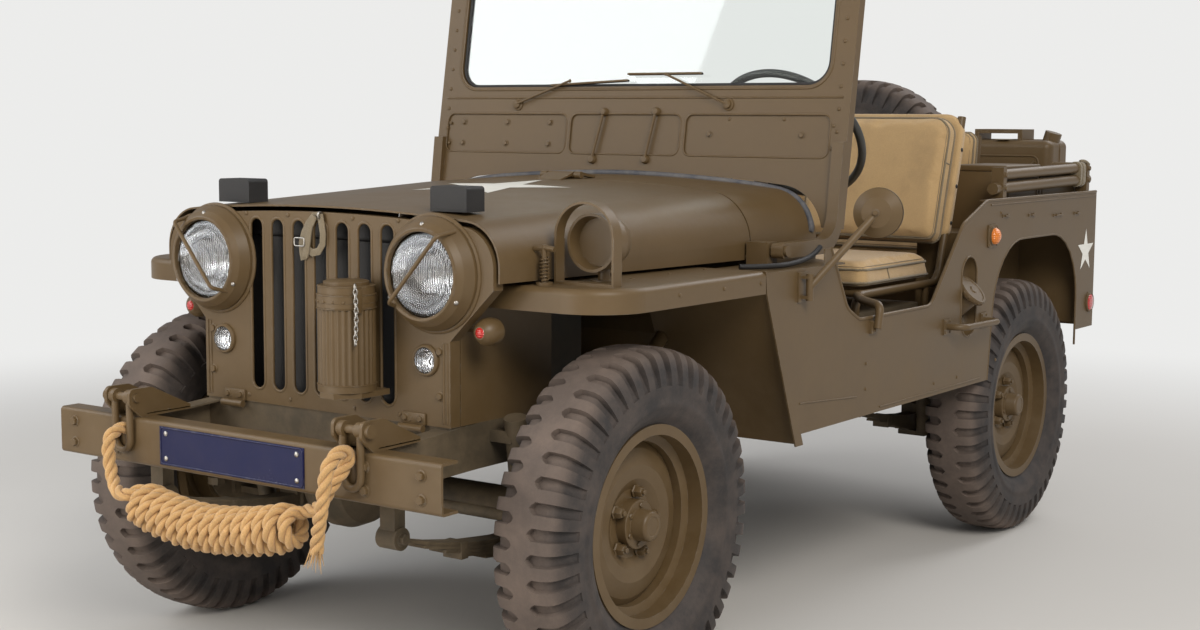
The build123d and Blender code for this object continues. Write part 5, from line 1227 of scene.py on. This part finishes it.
def add_windshield_detail():
    """Glazing seal, beads, screws, the two rods and the wipers."""
    opening = rounded(-601, 601, 1347, 1671, 57, 8)
    seals = [tube([on_screen(y, z, proud) for y, z in opening], 4.5, 2, True) for proud in (-9.5, -18.5)]
    keep_on_screen(seals, "glass_seal", "black", 60)
    bead = rounded(-613, 613, 1335, 1683, 68, 8)
    pressed = [tube([on_screen(y, z, -1.2) for y, z in bead], 3.6, 2, True)]
    for low, high in ((-640, -207), (-194, 172), (186, 622)):
        edge = rounded(low, high, 1158, 1268, 22, 6)
        pressed.append(tube([on_screen(y, z, -0.8) for y, z in edge], 2.6, 2, True))
    pressed.append(tube([on_screen(y, 1312, -0.6) for y in (-650, 0, 650)], 3.2))
    keep_on_screen(pressed, "screen_beads", "olive", 60)
    screws = []
    for side in (-1, 1):
        for step in range(9):
            screws.append(stood(round_head(5.2, 3.2), on_screen(side * 641, 1225 + 57 * step), (1, 0, 0)))
        for z in (1182, 1240):
            screws.append(stood(round_head(5.2, 3.2), on_screen(side * 630, z), (1, 0, 0)))
    for y in range(-540, 541, 120):
        screws.append(stood(round_head(4.6, 2.8), on_screen(y, 1709), (1, 0, 0)))
    for y, z in ((262, 1216), (540, 1216), (-268, 1184), (-268, 1244), (-420, 1184), (-420, 1244),
                 (-580, 1184), (-580, 1244)):
        screws.append(stood(hex_head(7, 5), on_screen(y, z, -4), (1, 0, 0)))
    for y in (320, 484):
        screws.append(stood(round_head(5, 3), on_screen(y, 1256, -4), (1, 0, 0)))
    keep_on_screen(screws, "screen_screws", "olive")
    rods = []
    for top, foot in (((-80, 1273), (-106, 1142)), ((92, 1274), (70, 1145))):
        rods.append(tube([on_screen(*top, 7), on_screen(*foot, 7)], 4.2, 2))
        for y, z in (top, foot):
            rods.append(turned_at([(-1, 12), (8, 11), (12, 8), (13, 0)], 20, on_screen(y, z), (1, 0, 0)))
    keep_on_screen(rods, "screen_rods", "olive")
    arms, rubbers = [], []
    for pivot, joint, ends in (((315, 1293), (116, 1373), ((-9, 1375), (227, 1375))),
                               ((-385, 1293), (-202, 1357), ((-268, 1346), (-9, 1358)))):
        arms.append(turned_at([(-1, 17), (3, 16.6), (5, 12), (11, 11), (13, 7), (13, 0)], 24,
                              on_screen(*pivot), (1, 0, 0)))
        arms.append(tube([on_screen(*pivot, 11), on_screen(*joint, 13)], 3.2, 2))
        arms.append(tube([on_screen(*ends[0], 9), on_screen(*ends[1], 9)], 3.0, 2))
        arms.append(stood(round_head(5, 4), on_screen(*joint, 11), (1, 0, 0)))
        rubbers.append(tube([on_screen(*ends[0], 1), on_screen(*ends[1], 1)], 3.2, 2))
        rubbers.append(tube([on_screen(*ends[0], 4.6), on_screen(*ends[1], 4.6)], 2.2, 2))
    keep_on_screen(arms, "wiper_arms", "olive")
    keep_on_screen(rubbers, "wiper_blades", "black")


# Markings

def star_outline(a, b, reach, turn):
    """A five-pointed star's outline round a point."""
    points = []
    for step in range(10):
        angle = radians(turn + 36 * step)
        r = reach if step % 2 == 0 else reach * 0.382
        points.append((a + r * cos(angle), b + r * sin(angle)))
    return points


def laid_on(obj, carrier, drop, lift=0.7):
    """Drop every point of a flat shape on to a CAD node's surface, in a direction."""
    direction = Vector(drop)
    for point in obj.data.vertices:
        hit, place, _, _ = carrier.ray_cast(point.co - direction * 0.3, direction)
        if hit:
            point.co = place - direction * lift * MM
    return obj


def painted_star(a, b, reach, turn, plane, level, carrier, drop):
    """A thin white star that follows the surface under it."""
    outline = star_outline(a, b, reach, turn)
    axis = "xyz".index(plane)
    bpy.ops.mesh.primitive_circle_add(vertices=10, radius=1, fill_type="NGON")
    obj = bpy.context.object
    for point, (first, second) in zip(obj.data.vertices, outline):
        place = [first, second]
        place.insert(axis, level)
        point.co = at(*place)
    open_whole(obj)
    bpy.ops.mesh.poke()
    bpy.ops.mesh.subdivide(number_cuts=11)
    close_outward()
    laid_on(obj, carrier, drop)
    return obj


def add_stars():
    """The plain white stars on the hood and on both sides."""
    hood_star = painted_star(-310, 0, 205, 180, "z", 1100, frame["nodes"]["hood"], (0, 0, -1))
    keep(hood_star, "hood_star", "white", "hood_lid")
    for side, label in ((1, "left"), (-1, "right")):
        level = side * (SIDE_Y + 5)
        star = painted_star(-2460, 838, 72, 90, "y", level, frame["nodes"]["tub_" + label], (0, -side, 0))
        keep(star, "side_star_" + label, "white")


# Body side and cowl

def add_side_detail():
    """Strap loops, bolts, seams, latches and the mirror's glass."""
    fittings, seams, silver = [], [], []
    for side in (-1, 1):
        wall = side * SIDE_Y
        out = (0, side, 0)
        for x, z, reach in ((-1793, 979, 13), (-1992, 974, 13), (-2369, 964, 13), (-2205, 965, 26)):
            loop = [(x - reach, wall, z), (x - reach, wall + side * 8, z), (x + reach, wall + side * 8, z),
                    (x + reach, wall, z)]
            fittings.append(tube(loop, 2.5, 2))
            for end in (-1, 1):
                low_y, high_y = sorted((wall, wall + side * 2.4))
                fittings.append(box((x + end * (reach + 5) - 6, low_y, z - 5),
                                    (x + end * (reach + 5) + 6, high_y, z + 5), 1))
        for x, z in ((-1762, 989), (-1750, 560), (-920, 640), (-920, 575), (-1330, 540), (-1480, 540)):
            fittings.append(stood(round_head(5, 3), (x, wall, z), out))
        for x, z in ((-1400, 690), (-1650, 686)):
            for dx, dz in ((-15, -15), (15, -15), (15, 15), (-15, 15)):
                fittings.append(stood(round_head(4, 2.6), (x + dx, wall + side * 5, z + dz), out))
        seams.append(tube([(-575, wall, 582), (-720, wall, 572), (-870, wall, 561)], 2.2))
        seams.append(tube([(-1686, wall, 1014), (-2000, wall, 1014), (-2538, wall, 1014)], 2.6))
        seams.append(tube([(-1000, wall, 519), (-1300, wall, 519), (-1640, wall, 519)], 2.4))
        latch = side * 530
        fittings.append(tube([(175, latch - 26, 985), (175, latch, 990), (175, latch + 26, 985)], 6, 3))
        coil = [(175 + 10 * cos(0.9 * step), latch + 10 * sin(0.9 * step), 920 + 1.05 * step)
                for step in range(48)]
        fittings.append(tube(coil, 1.6, 3, sides=1))
        for x in (-600, -578):
            fittings.append(stood(hex_head(6.5, 5), (x, side * 576, 925), (0, -side, 0)))
        for x, z in ((-40, 884), (-220, 884), (-380, 884)):
            fittings.append(stood(round_head(5, 3), (x, side * 728, z), out))
        for x in (90, -60, -210, -360):
            fittings.append(stood(round_head(5, 2.6), (x, side * 590, 910)))
    for z in (724, 740):
        fittings.append(stood(hex_head(5, 4), (-948, 733, z), (0, 1, 0)))
    face = Vector((1, 0.25, 0.05)).normalized()
    head = Vector((-711, 850, 1036))
    back = tuple(head - face * 18)
    silver.append(turned_at([(0.6, 55), (1.4, 53), (1.8, 0)], 48, back, tuple(-face)))
    seams.append(turned_at([(-3, 60.6), (1, 60.8), (3.4, 58.4), (3.2, 55.2), (0.4, 54.8)], 48, back,
                           tuple(-face)))
    fittings.append(stood(hex_head(7, 6), tuple(head + face * 13.6), tuple(face)))
    keep(joined(fittings), "side_fittings", "olive")
    keep(joined(seams), "side_seams", "olive", angle=60)
    keep(joined(silver), "mirror_glass", "mirror")


def locker(x_low, x_high, lid_z, lid):
    """A stowage box on the wheelhouse with its overhanging lid and pressed front."""
    low, y_low, y_high = 930, 504, 686
    pieces = [box((x_low + 3, y_low + 3, low), (x_high - 3, y_high - 3, lid_z), 2),
              box((x_low, y_low - 2, lid_z), (x_high, y_high, lid_z + lid), 4, 3)]
    for y in (y_low + 2.6, y_high - 2.6):
        edge = rounded(x_low + 22, x_high - 22, low + 26, lid_z - 22, 10, 4)
        pieces.append(tube([(x, y, z) for x, z in edge], 2.4, 2, True))
    return pieces


def add_lockers_and_levers():
    """The stowage boxes behind the driver, and the levers and pedals on the floor."""
    boxes = locker(-2153, -1886, 1104, 18) + locker(-2470, -2154, 1082, 16)
    for x in (-2100, -1940, -2400, -2220):
        boxes.append(box((x - 14, 500, 1070), (x + 14, 506, 1096), 2))
        boxes.append(turned_at([(-16, 4.5), (16, 4.5), (16, 0)], 12, (x, 501, 1096), (1, 0, 0)))
    keep(joined(boxes), "stowage_boxes", "olive")
    levers = [tube([(-930, 0, 640), (-950, 6, 760), (-1010, 28, 900), (-1052, 42, 972)], 7),
              tube([(-950, -46, 640), (-980, -46, 760), (-1066, -46, 888)], 6),
              tube([(-960, -82, 640), (-990, -82, 750), (-1070, -82, 868)], 6)]
    small_knob = [(-12, 7), (-6, 13), (4, 15), (12, 10), (15, 0)]
    knobs = [turned_at([(-14, 8), (-8, 15), (4, 19), (14, 15), (18, 6), (18, 0)], 24, (-1052, 42, 982)),
             turned_at(small_knob, 24, (-1066, -46, 896)), turned_at(small_knob, 24, (-1070, -82, 876))]
    for y in (235, 325):
        levers.append(tube([(-690, y, 640), (-705, y, 700), (-760, y, 757)], 8))
        knobs.append(turned_at([(0, 30), (6, 30), (8, 27), (8, 0)], 24, (-766, y, 762), (-1, 0, 0.8)))
    knobs.append(box((-800, 452, 636), (-700, 488, 644), 3))
    levers.append(turned_at([(0, 46), (10, 44), (24, 26), (34, 12), (34, 0)], 24, (-930, 0, 622)))
    keep(joined(levers), "floor_levers", "chassis", angle=60)
    keep(joined(knobs), "lever_knobs", "black", angle=60)


# Body shell details

def filleted(corners, steps=8):
    """A line whose inner corners are rounded; each corner is (a, b, radius)."""
    points = [tuple(corners[0][:2])]
    for before, here, after in zip(corners, corners[1:], corners[2:]):
        corner, r = Vector(here[:2]), here[2]
        one = (Vector(before[:2]) - corner).normalized()
        two = (Vector(after[:2]) - corner).normalized()
        half = one.angle(two) / 2
        centre = corner + (one + two).normalized() * r / sin(half)
        start, end = corner + one * r / tan(half) - centre, corner + two * r / tan(half) - centre
        for step in range(steps + 1):
            points.append(tuple(centre + start.lerp(end, step / steps).normalized() * r))
    points.append(tuple(corners[-1][:2]))
    return points


DOOR_EDGE = [(-722, 945, 1), (-812, 790, 70), (-880, 756, 60), (-1300, 756, 60), (-1500, 968, 60),
             (-1660, 1027, 60), (-2541, 1027, 1)]
ARCH_EDGE = [(-2391, 540, 1), (-2391, 906, 215), (-1742, 906, 215), (-1694, 507, 1)]
FILLER = (-1549, 738, 783)


def node_copy(name):
    """A scene piece that starts as a copy of a CAD node's shape."""
    twin = twin_of(frame["nodes"][name])
    twin.hide_render = False
    return twin


def add_body_edges():
    """Rolled edges of the door cut and the wheel arches, and the strap round the stowed bows."""
    edges, straps = [], []
    for side in (-1, 1):
        y = side * (SIDE_Y - 2)
        for line in (DOOR_EDGE, ARCH_EDGE):
            edges.append(tube([(x, y, z) for x, z in filleted(line)], 5.0 if line is DOOR_EDGE else 3.4, 2))
        low_y, high_y = sorted((side * 683, side * 723))
        ring = rounded(low_y, high_y, 1045, 1126, 19, 5)
        straps.append(plate(ring, "x", -2448, -2424, 1.5))
        straps.append(plate(ring, "x", -2418, -2400, 1.5))
        straps.append(tube([(-2436, side * 706, 1126), (-2452, side * 716, 1132), (-2478, side * 720, 1116)],
                           5, 3))
        for x, z in ((-1790, 1098), (-1790, 1060), (-2470, 1104), (-2470, 1068)):
            edges.append(stood(hex_head(8, 6), (x, side * 722, z), (0, side, 0)))
    keep(joined(edges), "body_edges", "olive", angle=60)
    keep(joined(straps), "bow_straps", "webbing")


def add_filler_recess():
    """The left side with the recess of the fuel filler, and the slanted neck and cap in it."""
    side = node_copy("tub_left")
    outline = rounded(-1600, -1496, 648, 875, 51.9, 10)
    cutter = plate(outline, "y", 712, 735)
    modify(side, "BOOLEAN", object=cutter, operation="DIFFERENCE", solver="EXACT")
    bpy.data.objects.remove(cutter)
    open_whole(side)
    bpy.ops.mesh.remove_doubles(threshold=0.00005)
    bpy.ops.mesh.dissolve_limited(angle_limit=radians(1))
    bpy.ops.mesh.normals_make_consistent(inside=False)
    close_mesh()
    keep(side, "side_with_recess", "olive")
    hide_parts("tub_left")
    bpy.ops.mesh.primitive_circle_add(vertices=len(outline), radius=1, fill_type="NOTHING")
    pocket = bpy.context.object
    for point, (x, z) in zip(pocket.data.vertices, outline):
        point.co = at(x, 724.2, z)
    open_whole(pocket)
    middle = at(-1548, 700, 761)
    for inward, size in ((-0.020, 0.97), (-0.022, 0.9), (-0.010, 0.7)):
        bpy.ops.mesh.extrude_edges_move(TRANSFORM_OT_translate={"value": (0, inward, 0)})
        bpy.ops.transform.resize(value=(size, 1, size), center_override=middle)
    bpy.ops.mesh.edge_face_add()
    bpy.ops.mesh.select_all(action="SELECT")
    bpy.ops.mesh.normals_make_consistent(inside=True)
    close_mesh()
    rim = tube([(x, 724.6, z) for x, z in outline], 3.0, 2, True)
    keep(joined([pocket, rim]), "filler_recess_skin", "olive", angle=50)
    out, up = Vector((0, 0.750, 0.661)), Vector((0, -0.661, 0.750))
    top = Vector(FILLER)
    neck = turned_at([(0, 0), (0, 36), (54, 36), (58, 41), (64, 41), (64, 0)], 40, tuple(top - out * 78),
                     tuple(out))
    cap = turned_at([(-16, 0), (-16, 47), (-13, 48.5), (-4, 48.5), (0, 46), (0, 40), (-2.4, 38), (-2.4, 12),
                     (1, 9), (1, 0)], 56, tuple(top), tuple(out))
    ears = [neck, cap]
    for step in range(16):
        angle = 2 * pi * step / 16
        around = Vector((cos(angle), 0, 0)) + up * sin(angle)
        ears.append(stood(round_head(3.6, 2.2), tuple(top + around * 48 - out * 8.5), tuple(around)))
    keep(joined(ears), "filler_cap", "olive")
    hardware = node_copy("body_hardware")
    old_cap = at(-1561, 719, 780)
    open_whole(hardware)
    pick(hardware, "VERT", lambda p: (p - old_cap).length < 0.066)
    bpy.ops.mesh.delete(type="VERT")
    close_mesh()
    keep(hardware, "handles_and_brackets", "olive")
    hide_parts("body_hardware")


def add_cowl_seal():
    """The aged seal along the rear edge of the cowl, in front of the windshield, and the wiring hose."""
    cowl = frame["nodes"]["cowl"]
    points = []
    for turn in range(-100, 101, 4):
        angle = radians(turn)
        out = Vector((0, sin(angle), cos(angle)))
        height = 1105
        for _ in range(3):
            x = SCREEN_X + (SCREEN_Z - height) * SCREEN_SLOPE + 14.5
            start = at(x, 0, 980) + out * 0.9
            hit, place, _, _ = cowl.ray_cast(start, -out)
            height = place.z / MM if hit else height
        if hit and height > 958:
            spot = (place - at(0, 0, 0)) / MM + out * 3.5
            points.append(tuple(spot))
    seal = tube(points, 8.5, 3)
    keep(seal, "cowl_seal", "seal", angle=60)
    hose = [(-430, 640, 914), (-490, 690, 913), (-600, 697, 915), (-690, 697, 930), (-716, 697, 948)]
    keep(tube(hose, 6.5, 3), "wiring_hose", "black", angle=60)


def add_inside_detail():
    """Dials on the instrument panel, the horn button and the radiator's fins."""
    panel_x = -862
    faces, rings = [], []
    for y, z, r in ((30, 1040, 46), (-48, 1062, 26), (-48, 1008, 26), (108, 1062, 26), (108, 1008, 26)):
        faces.append(turned_at([(0, r - 4), (2.5, r - 4.5), (2.5, 0)], 40, (panel_x, y, z), (-1, 0, 0)))
        rings.append(turned_at([(0, r), (4, r), (6.5, r - 2.5), (6, r - 5), (2.4, r - 5.4)], 40,
                               (panel_x, y, z), (-1, 0, 0)))
        for turn in range(-120, 121, 30):
            angle = radians(turn)
            mark = (panel_x - 2.6, y + (r - 10) * sin(angle), z + (r - 10) * cos(angle))
            rings.append(stood(round_head(1.3, 0.8), mark, (-1, 0, 0)))
    keep(joined(faces), "dial_faces", "dial")
    keep(joined(rings), "dial_rings", "olive")
    slope = radians(38)
    axis = (-cos(slope), 0, sin(slope))
    button = turned_at([(-2, 25), (3, 24.5), (8, 17), (10, 6), (10, 0)], 36, (-1110, 390, 1215), axis)
    keep(button, "horn_button", "black", "steering_wheel_body")
    fins = copies(box((0, 0, 0), (3, 1.6, 372)), [((GRILLE_X - 44, y, 610), (0, 0, 1))
                                                  for y in range(-250, 251, 10)])
    keep(fins, "radiator_fins", "black")


# Underside and rear

def add_running_gear_detail():
    """Separate leaves and clips of the springs, with their bolts."""
    leaves, bolts = [], []
    for axle in (0, -WHEELBASE):
        for side in (-1, 1):
            y_low, y_high = sorted((side * 326.6, side * 373.4))
            for leaf in range(6):
                reach = 442 - 66 * leaf
                line = []
                for step in range(9):
                    x = reach * (step / 4 - 1)
                    line.append((axle + x, 330.5 + 66 * (x / 450) ** 2 - 8.2 * leaf))
                leaves.append(band(line, 6.4, "y", y_low, y_high))
            for x in (-250, 250):
                leaves.append(box((axle + x - 12, y_low - 3, 318), (axle + x + 12, y_high + 3, 356), 2))
            for x in (-450, 450):
                bolts.append(stood(hex_head(12, 9), (axle + x, side * 376, 400), (0, side, 0)))
            for x in (-36, 36):
                for y in (side * 322, side * 378):
                    bolts.append(tube([(axle + x, y, 366), (axle + x, y, 262)], 6.5, 2))
                    bolts.append(stood(hex_head(11, 10), (axle + x, y, 276), (0, 0, -1)))
    keep(joined(leaves), "spring_leaves", "chassis")
    keep(joined(bolts), "spring_bolts", "chassis")


def add_rear_detail():
    """The can's pressings, bolts of the hook and carriers, and rivets of the rear panel."""
    x, y = -2644, 385
    pressings = [tube([(x, a, z) for a, z in rounded(y - 172.8, y + 172.8, 763, 1190.5, 30, 6)], 2.6, 2,
                      True)]
    for face in (x - 82.6, x + 82.6):
        for ends in (((y - 118, 812), (y + 118, 1120)), ((y + 118, 812), (y - 118, 1120))):
            pressings.append(tube([(face, *ends[0]), (face, *ends[1])], 5, 2))
        pressings.append(tube([(face, a, z) for a, z in rounded(y - 132, y + 132, 796, 1138, 24, 5)], 3.4, 2,
                              True))
    keep(joined(pressings), "can_pressings", "olive", angle=60)
    strap = [box((x - 85.5, y - 22, 767), (x - 82.8, y + 22, 1186), 1),
             box((x - 85.5, y - 22, 1190.5), (x + 84, y + 22, 1192.5), 1)]
    keep(joined(strap), "can_strap", "webbing")
    bolts = []
    for side in (-1, 1):
        for z in (520, 592):
            bolts.append(((REAR_X - 12, side * 44, z), (-1, 0, 0)))
        for z in (640, 760, 880, 1000):
            bolts.append(((REAR_X, side * 700, z), (-1, 0, 0)))
        for z in (770, 1000):
            bolts.append(((REAR_X - 8, SPARE[1] + side * 70, z), (-1, 0, 0)))
    keep(copies(hex_head(8, 6), bolts), "rear_bolts", "olive")
    beads = [tube([(REAR_X, -690, z), (REAR_X, 0, z), (REAR_X, 690, z)], 3.4) for z in (1012, 640)]
    for side in (-1, 1):
        beads.append(tube([(REAR_X, side * 600, 800), (REAR_X, side * 600, 1000)], 3.4, 2))
    keep(joined(beads), "rear_beads", "olive", angle=60)


def dress_cad_nodes():
    """Give every CAD node that stays its finish."""
    for part in frame["record"]["subparts"]:
        material, _ = FINISH[CAD_FINISH[part["material_slot"]]]
        shown = frame["nodes"][part["node"]]
        shown.data.materials.clear()
        shown.data.materials.append(material)


add_camera()
add_tow_rope()
add_studio()
dress_cad_nodes()
add_wheels()
add_seats()
add_headlamp_insides()
add_signal_lamps()
add_grille_pressings()
add_grille_strap()
add_canister_detail()
add_bumper_detail()
add_windshield_detail()
add_stars()
add_side_detail()
add_lockers_and_levers()
add_body_edges()
add_filler_recess()
add_cowl_seal()
add_inside_detail()
add_running_gear_detail()
add_rear_detail()
